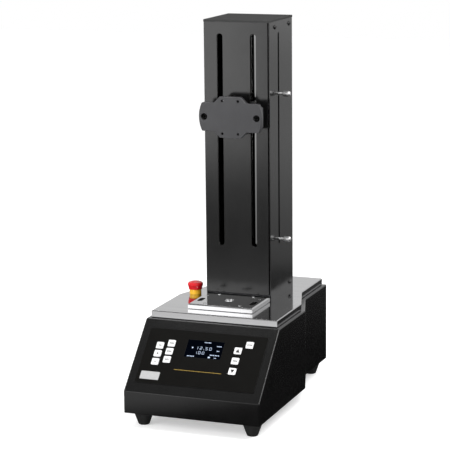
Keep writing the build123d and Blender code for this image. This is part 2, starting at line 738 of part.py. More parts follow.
# Travel stops
def stop_slider(z):
    """Block behind the side slot with a tongue that keeps it straight in the slot."""
    wall = INNER_W / 2
    depth = (SIDE_SLOT_Y - STOP_W / 2, SIDE_SLOT_Y + STOP_W / 2)
    slider = block((wall - STOP_T, wall), depth, (z - STOP_H / 2, z + STOP_H / 2))
    tongue = SIDE_SLOT_W / 2 - TONGUE_GAP
    tongue_y = (SIDE_SLOT_Y - tongue, SIDE_SLOT_Y + tongue)
    slider += block((wall, wall + COVER_T), tongue_y, (z - TONGUE_H / 2, z + TONGUE_H / 2))
    return slider - crosswise((wall - STOP_T - FIT, wall + STOP_T), SIDE_SLOT_Y, z, KNOB_SHANK_R + RUN_GAP)


def stop_knob(z):
    """Thumb screw with a collar against the column and a fluted, domed head."""
    wall = COLUMN_W / 2
    head_x = wall + KNOB_REACH
    knob = crosswise((wall - KNOB_BITE, head_x), SIDE_SLOT_Y, z, KNOB_SHANK_R)
    knob += crosswise((wall, wall + KNOB_COLLAR_T), SIDE_SLOT_Y, z, KNOB_COLLAR_R)
    head = Cylinder(KNOB_R, KNOB_L)
    head = fillet(head.edges().sort_by(Axis.Z)[-1], KNOB_R / 2)
    head -= PolarLocations(KNOB_R, KNOB_FLUTES) * Cylinder(KNOB_FLUTE_R, KNOB_L)
    return knob + Pos(head_x + KNOB_L / 2, SIDE_SLOT_Y, z) * Rot(0, 90, 0) * head


# Drive in the base
def motor():
    low = MOTOR_TOP - MOTOR_H
    half = MOTOR_W / 2
    depth = (SCREW_Y - half, SCREW_Y + half)
    body = block(both_sides(half), depth, (low, MOTOR_TOP))
    body = chamfer(body.edges().filter_by(Axis.Z), MOTOR_CORNER)
    body += upright(0, SCREW_Y, (MOTOR_TOP, MOTOR_TOP + MOTOR_BOSS_H), MOTOR_BOSS_R)
    shaft_hole = (MOTOR_TOP - MOTOR_H / 2, MOTOR_TOP + 2 * MOTOR_BOSS_H)
    return body - upright(0, SCREW_Y, shaft_hole, MOTOR_SHAFT_R + RUN_GAP)


def motor_bracket():
    """Plate hung under the deck on four posts, clear of the coupling."""
    half = BRACKET_PLATE_W / 2
    plate = block(both_sides(half), (SCREW_Y - half, SCREW_Y + half), (MOTOR_TOP, PLATE_TOP))
    plate -= upright(0, SCREW_Y, (MOTOR_TOP - FIT, PLATE_TOP + FIT), MOTOR_BOSS_R + FIT)
    for x in both_sides(POST_X):
        for y in both_sides(POST_X):
            plate += upright(x, SCREW_Y + y, (PLATE_TOP - FIT, HOUSING_TOP), POST_R)
    return plate


def coupling_z():
    middle = SCREW_BOTTOM
    return (middle - COUPLING_L / 2, middle + COUPLING_L / 2)


def coupling():
    """Clamp coupling, split down one side, on the screw's tail and the motor's shaft."""
    low, high = coupling_z()
    body = upright(0, SCREW_Y, (low, high), COUPLING_R)
    body -= upright(0, SCREW_Y, (SCREW_BOTTOM - FIT, high + FIT), JOURNAL_R)
    body -= upright(0, SCREW_Y, (low - FIT, SCREW_BOTTOM), MOTOR_SHAFT_R)
    split = (SCREW_Y, SCREW_Y + 2 * COUPLING_R)
    return body - block(both_sides(COUPLING_SLIT / 2), split, (low - FIT, high + FIT))


def motor_shaft():
    return upright(0, SCREW_Y, (MOTOR_TOP - MOTOR_H / 2 + FIT, SCREW_BOTTOM - FIT), MOTOR_SHAFT_R)


# Emergency stop
def estop_collar():
    ring = upright(ESTOP_X, ESTOP_Y, (DECK_TOP, DECK_TOP + ESTOP_COLLAR_H), ESTOP_COLLAR_R)
    through = (DECK_TOP - FIT, DECK_TOP + ESTOP_COLLAR_H + FIT)
    return ring - upright(ESTOP_X, ESTOP_Y, through, ESTOP_STEM_R + ESTOP_STEM_GAP)


def estop_bore_bottom():
    return HOUSING_TOP - ESTOP_BARREL_L - ESTOP_BLOCK_H / 2


def estop_body():
    """Threaded barrel through the deck with the contact block under it."""
    barrel = upright(ESTOP_X, ESTOP_Y, (HOUSING_TOP - ESTOP_BARREL_L, DECK_TOP), ESTOP_BARREL_R)
    half = ESTOP_BLOCK_W / 2
    top = HOUSING_TOP - ESTOP_BARREL_L
    contact = block(
        (ESTOP_X - half, ESTOP_X + half), (ESTOP_Y - half, ESTOP_Y + half), (top - ESTOP_BLOCK_H, top)
    )
    nut = Pos(ESTOP_X, ESTOP_Y, HOUSING_TOP - ESTOP_BARREL_L / 2)
    nut *= extrude(RegularPolygon(ESTOP_SKIRT_R, 6), ESTOP_BARREL_L / 2)
    bore = upright(ESTOP_X, ESTOP_Y, (estop_bore_bottom(), DECK_TOP + FIT), ESTOP_STEM_R + RUN_GAP)
    return barrel + contact + nut - bore


def estop_stem():
    bottom = estop_bore_bottom() + ESTOP_TRAVEL + ESTOP_STEM_GAP
    return upright(ESTOP_X, ESTOP_Y, (bottom, estop_socket_top()), ESTOP_STEM_R)


def estop_rim_z():
    return DECK_TOP + ESTOP_COLLAR_H + FIT


def estop_socket_top():
    return estop_rim_z() + ESTOP_HEAD_H - ESTOP_CAP_H


def estop_head():
    """Tulip head whose hollow skirt comes down over the collar."""
    rim = estop_rim_z()
    wide = rim + ESTOP_HEAD_H - ESTOP_CAP_H
    top = rim + ESTOP_HEAD_H
    inner = ESTOP_COLLAR_R + 2 * FIT
    roof = rim + ESTOP_TRAVEL + 2 * FIT
    neck = ESTOP_STEM_R + RUN_GAP
    skirt = Polyline((0, wide), (neck, wide), (neck, roof), (inner, roof), (inner, rim), (ESTOP_SKIRT_R, rim))
    flare = TangentArc((ESTOP_SKIRT_R, rim), (ESTOP_HEAD_R, wide), tangent=(0, 1))
    crown = TangentArc((0, top), (ESTOP_HEAD_R, wide), tangent=(1, 0))
    middle = Line((0, top), (0, wide))
    profile = make_face(skirt.edges() + flare.edges() + crown.edges() + middle.edges())
    lip = profile.vertices().sort_by(Axis.X)[-1]
    profile = fillet(lip, ESTOP_LIP_R)
    return Pos(ESTOP_X, ESTOP_Y, 0) * revolve(Plane.XZ * profile, Axis.Z)


# Control panel
def front_overlay():
    middle = OVERLAY_DOWN + OVERLAY_H / 2
    sheet = on_panel(0, middle, (0, OVERLAY_T), OVERLAY_W, OVERLAY_H, OVERLAY_CORNER_R)
    cut = (-FIT, OVERLAY_T + FIT)
    sheet -= on_panel(0, DISPLAY_DOWN + DISPLAY_H / 2, cut, DISPLAY_W, DISPLAY_H)
    for _, x, down in KEYS:
        corner = KEY_CORNER_R + KEY_GAP
        sheet -= on_panel(x, down, cut, KEY_W + 2 * KEY_GAP, KEY_H + 2 * KEY_GAP, corner)
    return sheet


def display_window():
    width = DISPLAY_W - FIT
    height = DISPLAY_H - FIT
    return on_panel(0, DISPLAY_DOWN + DISPLAY_H / 2, (0, OVERLAY_T - WINDOW_SINK), width, height)


def module_size():
    return (DISPLAY_W + 2 * MODULE_RIM_X, DISPLAY_H + 2 * MODULE_RIM_Y)


def display_module():
    """Display behind the sheet, its glass raised into the opening."""
    down = DISPLAY_DOWN + DISPLAY_H / 2
    module = on_panel(0, down, (-SHEET - MODULE_T, -SHEET), *module_size())
    glass_w = DISPLAY_W - 2 * WINDOW_LEDGE - FIT
    glass_h = DISPLAY_H - 2 * WINDOW_LEDGE - FIT
    return module + on_panel(0, down, (-SHEET, -FIT), glass_w, glass_h)


def key_cap(x, down):
    """Key with a flange behind the sheet, so that it can't come out."""
    cap = on_panel(x, down, (-SHEET, OVERLAY_T + KEY_PROUD), KEY_W, KEY_H, KEY_CORNER_R)
    flange = (KEY_W + 2 * KEY_FLANGE, KEY_H + 2 * KEY_FLANGE)
    return cap + on_panel(x, down, (-SHEET - KEY_FLANGE_T, -SHEET), *flange)


def keypad_board():
    """Board behind the keys with one switch under each key and spacers at its corners."""
    front = -SHEET - BOARD_GAP
    wide = OVERLAY_W - 2 * BOARD_MARGIN
    top = MENU_DOWN - KEY_H / 2 - BOARD_MARGIN
    bottom = RIGHT_DOWN + 2 * RIGHT_KEY_PITCH + KEY_H / 2 + BOARD_MARGIN
    middle = (top + bottom) / 2
    tall = bottom - top
    board = on_panel(0, middle, (-BOARD_BACK, front), wide, tall)
    down = DISPLAY_DOWN + DISPLAY_H / 2
    opening = [size + 2 * FIT for size in module_size()]
    board -= on_panel(0, down, (-2 * BOARD_BACK, 0), *opening)
    switch_top = -SHEET - KEY_FLANGE_T - KEY_TRAVEL - SWITCH_SPARE
    for _, x, down in KEYS:
        board += on_panel(x, down, (front - FIT, switch_top), SWITCH_W, SWITCH_W)
    for x in both_sides(wide / 2 - STANDOFF_R):
        for down in (top + STANDOFF_R, bottom - STANDOFF_R):
            spacer = extrude(Circle(STANDOFF_R), BOARD_GAP + FIT)
            board += PANEL * Pos(x, -down, front - FIT) * spacer
    return board


# Electronics
def power_supply():
    rear = SCREW_Y - MOTOR_W / 2 - SUPPLY_GAP
    case = block(both_sides(SUPPLY_W / 2), (rear - SUPPLY_D, rear), (FLOOR_TOP, FLOOR_TOP + SUPPLY_H))
    return chamfer(case.edges().group_by(Axis.Z)[-1], SHEET)


def control_board():
    front = FRONT_Y + CONTROL_FRONT_GAP
    level = FLOOR_TOP + CONTROL_LIFT
    board = block(both_sides(CONTROL_W / 2), (front, front + CONTROL_D), (level, level + BOARD_T))
    inset = 2 * STANDOFF_R
    for x in both_sides(CONTROL_W / 2 - inset):
        for y in (front + inset, front + CONTROL_D - inset):
            board += upright(x, y, (FLOOR_TOP, level + FIT), STANDOFF_R)
    sink_y = (front + CONTROL_D / 4, front + CONTROL_D * 3 / 4)
    return board + block(both_sides(CONTROL_W / 8), sink_y, (level, level + BOARD_T + CHIP_H))


def assembly():
    nodes = {
        "base_housing": base_housing(),
        "bottom_plate": bottom_plate(),
        "rear_panel": rear_panel(),
        "power_inlet": power_inlet(),
        "switch_body": switch_body(),
        "power_rocker": power_rocker(),
        "deck_plate": deck_plate(),
        "specimen_table": specimen_table(),
        "table_screws": table_screws(),
        "column_front_plate": column_front_plate(),
        "column_cover": column_cover(),
        "column_top_plate": column_top_plate(),
        "lower_bearing_block": lower_bearing_block(),
        "upper_bearing_block": upper_bearing_block(),
        "lower_bearing": bearing(lower_bearing_z()),
        "upper_bearing": bearing(upper_bearing_z()),
        "guide_rod_left": guide_rod(-ROD_X),
        "guide_rod_right": guide_rod(ROD_X),
        "lead_screw": lead_screw(),
        "carriage": carriage(),
        "bushing_left": bushing(-ROD_X),
        "bushing_right": bushing(ROD_X),
        "lead_nut": lead_nut(),
        "crosshead_yoke": crosshead_yoke(),
        "mounting_bracket": mounting_bracket(),
        "bracket_screws": bracket_screws(),
        "sensor_flag": sensor_flag(),
        "motor": motor(),
        "motor_bracket": motor_bracket(),
        "motor_shaft": motor_shaft(),
        "coupling": coupling(),
        "estop_collar": estop_collar(),
        "estop_body": estop_body(),
        "estop_stem": estop_stem(),
        "estop_head": estop_head(),
        "front_overlay": front_overlay(),
        "display_window": display_window(),
        "display_module": display_module(),
        "keypad_board": keypad_board(),
        "power_supply": power_supply(),
        "control_board": control_board(),
    }
    nodes.update(feet())
    for side, rise in (("upper", UPPER_STOP_RISE), ("lower", LOWER_STOP_RISE)):
        nodes[f"{side}_stop_slider"] = stop_slider(DECK_TOP + rise)
        nodes[f"{side}_stop_knob"] = stop_knob(DECK_TOP + rise)
    for name, x, down in KEYS:
        nodes[name] = key_cap(x, down)
    return nodes


os.makedirs("parts", exist_ok=True)
for node, shape in assembly().items():
    export_step(shape, f"parts/{node}.step")
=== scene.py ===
import json
from math import cos, pi, radians, sin, sqrt, tau

import bmesh
import bpy
from mathutils import Matrix, Vector


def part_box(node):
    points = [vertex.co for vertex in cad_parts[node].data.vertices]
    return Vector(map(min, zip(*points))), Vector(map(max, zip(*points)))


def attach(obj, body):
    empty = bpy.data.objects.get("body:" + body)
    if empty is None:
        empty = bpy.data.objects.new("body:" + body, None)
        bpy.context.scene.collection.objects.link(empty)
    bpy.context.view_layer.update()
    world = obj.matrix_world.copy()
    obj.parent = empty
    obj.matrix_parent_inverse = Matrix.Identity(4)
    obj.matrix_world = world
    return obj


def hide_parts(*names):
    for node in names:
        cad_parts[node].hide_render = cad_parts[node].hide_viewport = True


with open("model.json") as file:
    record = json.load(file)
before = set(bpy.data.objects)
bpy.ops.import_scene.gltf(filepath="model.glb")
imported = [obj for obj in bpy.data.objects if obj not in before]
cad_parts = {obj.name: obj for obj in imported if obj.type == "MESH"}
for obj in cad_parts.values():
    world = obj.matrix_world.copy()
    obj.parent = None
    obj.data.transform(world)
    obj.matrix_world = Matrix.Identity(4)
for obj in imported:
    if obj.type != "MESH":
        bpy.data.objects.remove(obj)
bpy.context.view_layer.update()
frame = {"nodes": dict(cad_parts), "record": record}
nodes = frame["nodes"]
mount_sizes = {mount["name"]: mount["dims"] for mount in frame["record"]["mounts"]}

# Looks of a motor-driven single-column force test stand. Lengths are in metres.
MM = 0.001

# Points round a circle
SEGMENTS = 48

# Turn between two faces from which their edge is sharp
CREASE = radians(32)

# Thickness of print, and how close two heights count as one
PRINT_T = 0.03 * MM
TOLERANCE = 0.01 * MM

# Axes of the control slope: across, up the slope and out of it
SLOPE = Matrix(((1, 0, 0), (0, sqrt(0.5), -sqrt(0.5)), (0, sqrt(0.5), sqrt(0.5)))).to_4x4()
UP = Vector((0, 0, 1))
RIGHT = Vector((1, 0, 0))
FRONT = Vector((0, -1, 0))
BACK = Vector((0, 1, 0))


# Materials

# Detail of every noise, and the range that its values mostly keep to
NOISE_DETAIL = 3.0
NOISE_LOW = 0.3
NOISE_HIGH = 0.7

# Cosines of the turn at which a rounded edge starts to show and shows fully, and samples for it
EDGE_START = 0.995
EDGE_FULL = 0.85
EDGE_SAMPLES = 6

# Sockets of a colour mix node
MIX_SHARE = 0
MIX_FIRST = 6
MIX_SECOND = 7
MIX_RESULT = 2


def shader(name, colour, roughness, metallic=0.0, specular=0.5):
    """New material with a principled shader, its node tree and the shader."""
    material = bpy.data.materials.new(name)
    material.use_nodes = True
    tree = material.node_tree
    bsdf = tree.nodes["Principled BSDF"]
    bsdf.inputs["Base Color"].default_value = (*colour, 1)
    bsdf.inputs["Roughness"].default_value = roughness
    bsdf.inputs["Metallic"].default_value = metallic
    bsdf.inputs["Specular IOR Level"].default_value = specular
    return material, tree, bsdf


def noise(tree, feature, stretch=(1, 1, 1)):
    """Noise with spots about one feature wide, drawn out along an axis where stretch is small."""
    place = tree.nodes.new("ShaderNodeTexCoord")
    mapping = tree.nodes.new("ShaderNodeMapping")
    texture = tree.nodes.new("ShaderNodeTexNoise")
    mapping.inputs["Scale"].default_value = stretch
    texture.inputs["Scale"].default_value = 1 / feature
    texture.inputs["Detail"].default_value = NOISE_DETAIL
    tree.links.new(place.outputs["Object"], mapping.inputs["Vector"])
    tree.links.new(mapping.outputs["Vector"], texture.inputs["Vector"])
    return texture.outputs["Fac"]


def mottle(tree, bsdf, source, dark, light):
    """Base colour that wanders between two shades."""
    ramp = tree.nodes.new("ShaderNodeValToRGB")
    first, last = ramp.color_ramp.elements
    first.position = NOISE_LOW
    first.color = (*dark, 1)
    last.position = NOISE_HIGH
    last.color = (*light, 1)
    tree.links.new(source, ramp.inputs["Fac"])
    tree.links.new(ramp.outputs["Color"], bsdf.inputs["Base Color"])
    return ramp.outputs["Color"]


def uneven_gloss(tree, bsdf, source, low, high):
    """Roughness that wanders between two values."""
    spread = tree.nodes.new("ShaderNodeMapRange")
    spread.inputs["From Min"].default_value = NOISE_LOW
    spread.inputs["From Max"].default_value = NOISE_HIGH
    spread.inputs["To Min"].default_value = low
    spread.inputs["To Max"].default_value = high
    tree.links.new(source, spread.inputs["Value"])
    tree.links.new(spread.outputs["Result"], bsdf.inputs["Roughness"])


def relief(tree, bsdf, source, height, base=None):
    """Fine surface relief of that height, over the normal that base gives."""
    bump = tree.nodes.new("ShaderNodeBump")
    bump.inputs["Strength"].default_value = 1.0
    bump.inputs["Distance"].default_value = height
    tree.links.new(source, bump.inputs["Height"])
    if base is not None:
        tree.links.new(base, bump.inputs["Normal"])
    tree.links.new(bump.outputs["Normal"], bsdf.inputs["Normal"])


def soft_edges(tree, radius):
    """Normal that rounds sharp edges over, and a mask that is 1 on those edges."""
    bevel = tree.nodes.new("ShaderNodeBevel")
    bevel.samples = EDGE_SAMPLES
    bevel.inputs["Radius"].default_value = radius
    geometry = tree.nodes.new("ShaderNodeNewGeometry")
    turn = tree.nodes.new("ShaderNodeVectorMath")
    turn.operation = "DOT_PRODUCT"
    mask = tree.nodes.new("ShaderNodeMapRange")
    mask.inputs["From Min"].default_value = EDGE_START
    mask.inputs["From Max"].default_value = EDGE_FULL
    tree.links.new(bevel.outputs["Normal"], turn.inputs[0])
    tree.links.new(geometry.outputs["Normal"], turn.inputs[1])
    tree.links.new(turn.outputs["Value"], mask.inputs["Value"])
    return bevel.outputs["Normal"], mask.outputs["Result"]


def wear_and_highlight_edges(tree, bsdf, body_colour, mask, bare):
    """Edges show a lighter colour than the rest: wear, and a painted highlight along them."""
    mix = tree.nodes.new("ShaderNodeMix")
    mix.data_type = "RGBA"
    mix.inputs[MIX_SECOND].default_value = (*bare, 1)
    tree.links.new(mask, mix.inputs[MIX_SHARE])
    tree.links.new(body_colour, mix.inputs[MIX_FIRST])
    tree.links.new(mix.outputs[MIX_RESULT], bsdf.inputs["Base Color"])


def coated(name, dark, light, roughness, grain, height, wear_and_highlight, specular=0.4, edge=0.7 * MM):
    """Textured coating on metal, with edges in another shade: worn coating, and a painted highlight along
    them.
    """
    shade_spots = 25 * MM
    gloss_spots = 30 * MM
    gloss_range = 0.015
    material, tree, bsdf = shader(name, dark, roughness, specular=specular)
    colour = mottle(tree, bsdf, noise(tree, shade_spots), dark, light)
    normal, mask = soft_edges(tree, edge)
    # Edges painted lighter, partly as wear and partly as a painted highlight
    wear_and_highlight_edges(tree, bsdf, colour, mask, wear_and_highlight)
    uneven_gloss(tree, bsdf, noise(tree, gloss_spots), roughness - gloss_range, roughness + gloss_range)
    relief(tree, bsdf, noise(tree, grain), height, normal)
    return material


def metal(name, dark, light, low, high, lay=(1, 1, 1), feature=0.6 * MM, height=0.004 * MM):
    """Bare metal with the marks of its finish along the axes where lay is small."""
    shade_spots = 12 * MM
    edge = 0.12 * MM
    material, tree, bsdf = shader(name, light, low, metallic=1.0)
    marks = noise(tree, feature, lay)
    mottle(tree, bsdf, noise(tree, shade_spots, lay), dark, light)
    uneven_gloss(tree, bsdf, marks, low, high)
    normal, _ = soft_edges(tree, edge)
    relief(tree, bsdf, marks, height, normal)
    return material


def moulded(name, dark, light, roughness, height=0.008 * MM, specular=0.5):
    """Moulded plastic or rubber with a fine spark-eroded grain."""
    shade_spots = 6 * MM
    gloss_spots = 3 * MM
    gloss_range = 0.04
    edge = 0.4 * MM
    grain = 0.5 * MM
    material, tree, bsdf = shader(name, dark, roughness, specular=specular)
    mottle(tree, bsdf, noise(tree, shade_spots), dark, light)
    uneven_gloss(tree, bsdf, noise(tree, gloss_spots), roughness - gloss_range, roughness + gloss_range)
    normal, _ = soft_edges(tree, edge)
    relief(tree, bsdf, noise(tree, grain), height, normal)
    return material


def screen(name, dark, light):
    """Dark display with an uneven backlight behind clear glass."""
    glow_spots = 20 * MM
    glow_stretch = (0.3, 1, 1)
    glow_strength = 0.3
    waves = 15 * MM
    wave_height = 0.01 * MM
    material, tree, bsdf = shader(name, dark, roughness=0.12, specular=0.02)
    colour = mottle(tree, bsdf, noise(tree, glow_spots, glow_stretch), dark, light)
    tree.links.new(colour, bsdf.inputs["Emission Color"])
    bsdf.inputs["Emission Strength"].default_value = glow_strength
    relief(tree, bsdf, noise(tree, waves), wave_height)
    return material


def lit(name, colour, strength):
    """Glowing display dots, slightly uneven."""
    glow_spots = 1.5 * MM
    dimmed = tuple(0.75 * channel for channel in colour)
    material, tree, bsdf = shader(name, colour, roughness=0.4)
    glow = mottle(tree, bsdf, noise(tree, glow_spots), dimmed, colour)
    tree.links.new(glow, bsdf.inputs["Emission Color"])
    bsdf.inputs["Emission Strength"].default_value = strength
    return material


def printed(name, dark, light):
    """Printed ink or a paper label."""
    shade_spots = 2 * MM
    grain = 0.3 * MM
    height = 0.004 * MM
    material, tree, bsdf = shader(name, dark, roughness=0.5, specular=0.3)
    mottle(tree, bsdf, noise(tree, shade_spots), dark, light)
    relief(tree, bsdf, noise(tree, grain), height)
    return material


def grey(value, tint=0.0):
    """Neutral shade, bluer by tint."""
    return (value, value, value * (1 + tint))


# Each coating's edge shade is partly wear and partly a painted highlight along its edges
MATERIALS = {
    "powder_black": coated(
        "powder_black", grey(0.0042), grey(0.0052), roughness=0.18, grain=0.7 * MM, height=0.0003 * MM,
        wear_and_highlight=grey(0.05), specular=0.43, edge=0.35 * MM,
    ),
    "matt_black": coated(
        "matt_black", grey(0.038), grey(0.042), roughness=0.75, grain=0.5 * MM, height=0.004 * MM,
        wear_and_highlight=grey(0.09), specular=0.05,
    ),
    "overlay_black": coated(
        "overlay_black", (0.0032, 0.0030, 0.0026), (0.0040, 0.0038, 0.0033), roughness=0.45, grain=0.3 * MM,
        height=0.004 * MM, wear_and_highlight=grey(0.02), specular=0.08,
    ),
    "anodised_black": coated(
        "anodised_black", grey(0.030, 0.08), grey(0.036, 0.08), roughness=0.33, grain=0.4 * MM,
        height=0.003 * MM, wear_and_highlight=grey(0.06), edge=0.25 * MM,
    ),
    "black_oxide_steel": coated(
        "black_oxide_steel", grey(0.005), grey(0.008), roughness=0.5, grain=0.5 * MM, height=0.003 * MM,
        wear_and_highlight=grey(0.012), specular=0.04, edge=0.35 * MM,
    ),
    "supply_grey": coated(
        "supply_grey", grey(0.36), grey(0.44), roughness=0.45, grain=0.6 * MM, height=0.008 * MM,
        wear_and_highlight=grey(0.5),
    ),
    "polished_aluminium": metal(
        "polished_aluminium", grey(0.50, 0.01), grey(0.54, 0.01), low=0.08, high=0.12, lay=(0.05, 1, 1),
    ),
    "machined_aluminium": metal(
        "machined_aluminium", grey(0.50), grey(0.60), low=0.25, high=0.38, lay=(1, 0.05, 1),
    ),
    "ground_steel": metal(
        "ground_steel", grey(0.55), grey(0.60), low=0.07, high=0.09, lay=(1, 1, 0.03), feature=3 * MM,
        height=0.0,
    ),
    "knurled_chrome": metal("knurled_chrome", grey(0.84), grey(0.92), low=0.28, high=0.36),
    "bronze": metal("bronze", (0.42, 0.26, 0.10), (0.52, 0.34, 0.15), low=0.2, high=0.3),
    "foot_rubber": moulded(
        "foot_rubber", grey(0.018), grey(0.024), roughness=0.45, height=0.01 * MM, specular=0.4,
    ),
    "black_plastic": moulded("black_plastic", grey(0.012), grey(0.017), roughness=0.42),
    "signal_red": moulded(
        "signal_red", (0.64, 0.008, 0.014), (0.70, 0.012, 0.020), roughness=0.2, specular=0.45,
    ),
    "signal_yellow": moulded(
        "signal_yellow", (0.96, 0.50, 0.026), (0.98, 0.56, 0.034), roughness=0.22, specular=0.45,
    ),
    "key_white": moulded("key_white", grey(0.72), grey(0.78), roughness=0.4),
    "circuit_green": moulded("circuit_green", (0.012, 0.075, 0.03), (0.02, 0.10, 0.045), roughness=0.35),
    "display_glass": screen("display_glass", (0.0003, 0.0007, 0.0018), (0.0004, 0.0010, 0.0027)),
    "display_dark": screen("display_dark", (0.004, 0.006, 0.02), (0.006, 0.012, 0.05)),
}
SCREW_BLACK = coated(
    "screw_black", grey(0.004), grey(0.006), roughness=0.16, grain=0.5 * MM, height=0.0, wear_and_highlight=grey(0.02),
    specular=0.5,
)
# Near-black heads whose lighter edges paint a highlight crescent round the rim
HEAD_BLACK = coated(
    "head_black", grey(0.0015), grey(0.0025), roughness=0.5, grain=0.5 * MM, height=0.002 * MM,
    wear_and_highlight=grey(0.14), specular=0.015, edge=0.25 * MM,
)
DISPLAY_LIGHT = lit("display_light", (0.50, 0.60, 0.78), strength=0.22)
LEGEND_INK = printed("legend_ink", grey(0.02), grey(0.035))
FAINT_INK = printed("faint_ink", grey(0.05), grey(0.08))
GOLD_INK = printed("gold_ink", (0.26, 0.17, 0.025), (0.34, 0.23, 0.05))
LABEL_PAPER = printed("label_paper", grey(0.40), grey(0.44))
MARK_WHITE = printed("mark_white", grey(0.62), grey(0.72))
MARK_ROSE = printed("mark_rose", (0.62, 0.16, 0.15), (0.70, 0.22, 0.20))


# Mesh helpers

def ring(radius, height):
    """Level ring of points. The radius is a number or a function of the angle."""
    size = radius if callable(radius) else lambda _: radius
    angles = [tau * i / SEGMENTS for i in range(SEGMENTS)]
    return [(size(a) * cos(a), size(a) * sin(a), height) for a in angles]


def hexagon(across):
    """Radius of a hexagon of that width across flats, as a function of the angle."""
    return lambda angle: across / 2 / cos(angle % (pi / 3) - pi / 6)


def skin(bm, rings, place):
    """Closed skin over rings of equally many points."""
    rows = [[bm.verts.new(place @ Vector(point)) for point in points] for points in rings]
    for low, high in zip(rows, rows[1:]):
        for i in range(len(low)):
            j = (i + 1) % len(low)
            bm.faces.new((low[i], low[j], high[j], high[i]))
    bm.faces.new(rows[0][::-1])
    bm.faces.new(rows[-1])


def closed_ring(bm, rings, place):
    """Ring round a hole, its section a loop through rings of equally many points."""
    rows = [[bm.verts.new(place @ Vector(point)) for point in points] for points in rings]
    for now, after in zip(rows, rows[1:] + rows[:1]):
        for i in range(len(now)):
            j = (i + 1) % len(now)
            bm.faces.new((now[i], now[j], after[j], after[i]))


def plate(bm, outline, thickness, place, edge=0.0):
    """Thin plate with its back at height 0 and its upper edge drawn in by edge."""
    middle_point = sum((Vector(p) for p in outline), Vector((0, 0))) / len(outline)
    inner = [Vector(p) + (middle_point - Vector(p)).normalized() * edge for p in outline]
    rings = [[(*p, 0) for p in outline]]
    if edge:
        rings.append([(*p, thickness - edge) for p in outline])
    rings.append([(*p, thickness) for p in inner])
    skin(bm, rings, place)


def rounded_box(width, height, corner, count=6):
    """Outline of a rectangle with round corners, each in count steps."""
    outline = []
    for quarter, (sx, sy) in enumerate(((1, 1), (-1, 1), (-1, -1), (1, -1))):
        for i in range(count + 1):
            angle = pi / 2 * (quarter + i / count)
            x = sx * (width / 2 - corner) + corner * cos(angle)
            outline.append((x, sy * (height / 2 - corner) + corner * sin(angle)))
    return outline


def moved(outline, x, y):
    """Outline at another place."""
    return [(u + x, v + y) for u, v in outline]


def facing(point, direction):
    """Frame at a point with its z axis along a direction."""
    return Matrix.Translation(point) @ Vector(direction).to_track_quat("Z", "Y").to_matrix().to_4x4()


def add_piece(bm, name, body, material, replaced=()):
    """Makes a piece from a mesh under construction and lets it ride on a body."""
    bmesh.ops.recalc_face_normals(bm, faces=bm.faces)
    for face in bm.faces:
        face.smooth = True
    for edge in bm.edges:
        edge.smooth = len(edge.link_faces) == 2 and edge.calc_face_angle() < CREASE
    mesh = bpy.data.meshes.new(name)
    bm.to_mesh(mesh)
    bm.free()
    mesh.materials.append(material)
    piece = bpy.data.objects.new(name, mesh)
    bpy.context.scene.collection.objects.link(piece)
    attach(piece, body)
    if replaced:
        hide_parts(*replaced)


def middle(node):
    """Middle of a node's box."""
    low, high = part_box(node)
    return (low + high) / 2


def slope_face(node):
    """Frame at the middle of a node's outer face on the control slope."""
    local = [SLOPE.inverted() @ vertex.co for vertex in nodes[node].data.vertices]
    top = max(point.z for point in local)
    face = [point for point in local if point.z > top - TOLERANCE]
    low = Vector((min(p.x for p in face), min(p.y for p in face), top))
    high = Vector((max(p.x for p in face), max(p.y for p in face), top))
    return SLOPE @ Matrix.Translation((low + high) / 2)


def finish_nodes():
    """Gives every node of the frame the finish of its material slot."""
    for part in frame["record"]["subparts"]:
        slots = nodes[part["node"]].data.materials
        slots.clear()
        slots.append(MATERIALS[part["material_slot"]])


# Screws

# Height of a table screw's head, as a share of its radius
TABLE_HEAD = 0.95


def knurl(radius):
    """Radius that alternates from point to point."""
    depth = 0.012
    return lambda angle: radius * (1 - depth * (1 + cos(angle * SEGMENTS / 2)))


def cap_screw(bm, place, head_r, head_h, shank_r, shank_l):
    """Socket head cap screw, its seat at height 0."""
    key = hexagon(head_r)
    key_floor = 0.45 * head_h
    edge = 0.1 * head_r
    shoulder_r = 0.97 * head_r
    rings = [ring(shank_r, -shank_l), ring(shank_r, 0), ring(knurl(head_r), 0)]
    rings += [ring(knurl(head_r), head_h - 2 * edge), ring(shoulder_r, head_h - edge)]
    rings += [ring(head_r - edge, head_h), ring(key, head_h), ring(key, key_floor)]
    skin(bm, rings, place)


def button_screw(bm, place, head_r, head_h):
    """Low domed head with a hexagon socket, on a surface at height 0."""
    key = hexagon(0.8 * head_r)
    key_floor = 0.15 * head_h
    top = 0.95 * head_h
    top_r = 0.54 * head_r
    dome = [ring(head_r * cos(a), head_h * sin(a)) for a in (0, pi / 10, pi / 5, 3 * pi / 10)]
    skin(bm, [*dome, ring(top_r, top), ring(key, top), ring(key, key_floor)], place)


def bracket_screws():
    """Cap screws in the gauge plate's two counterbores."""
    low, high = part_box("bracket_screws")
    head_r = (high.z - low.z) / 2
    head_h = 0.7 * head_r
    shank_r = 0.58 * head_r
    bm = bmesh.new()
    for x in (low.x + head_r, high.x - head_r):
        seat = Vector((x, low.y + head_h, (low.z + high.z) / 2))
        cap_screw(bm, facing(seat, FRONT), head_r, head_h, shank_r, high.y - seat.y)
    add_piece(bm, "bracket_cap_screws", "crosshead", HEAD_BLACK, ["bracket_screws"])


def table_screws():
    """Cap screws in the table's two slots."""
    low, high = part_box("table_screws")
    head_r = (high.y - low.y) / 2
    head_h = TABLE_HEAD * head_r
    shank_r = 0.57 * head_r
    bm = bmesh.new()
    for x in (low.x + head_r, high.x - head_r):
        seat = Vector((x, (low.y + high.y) / 2, high.z - head_h))
        cap_screw(bm, facing(seat, UP), head_r, head_h, shank_r, seat.z - low.z)
    add_piece(bm, "table_cap_screws", "frame", MATERIALS["black_oxide_steel"],
              ["table_screws"])


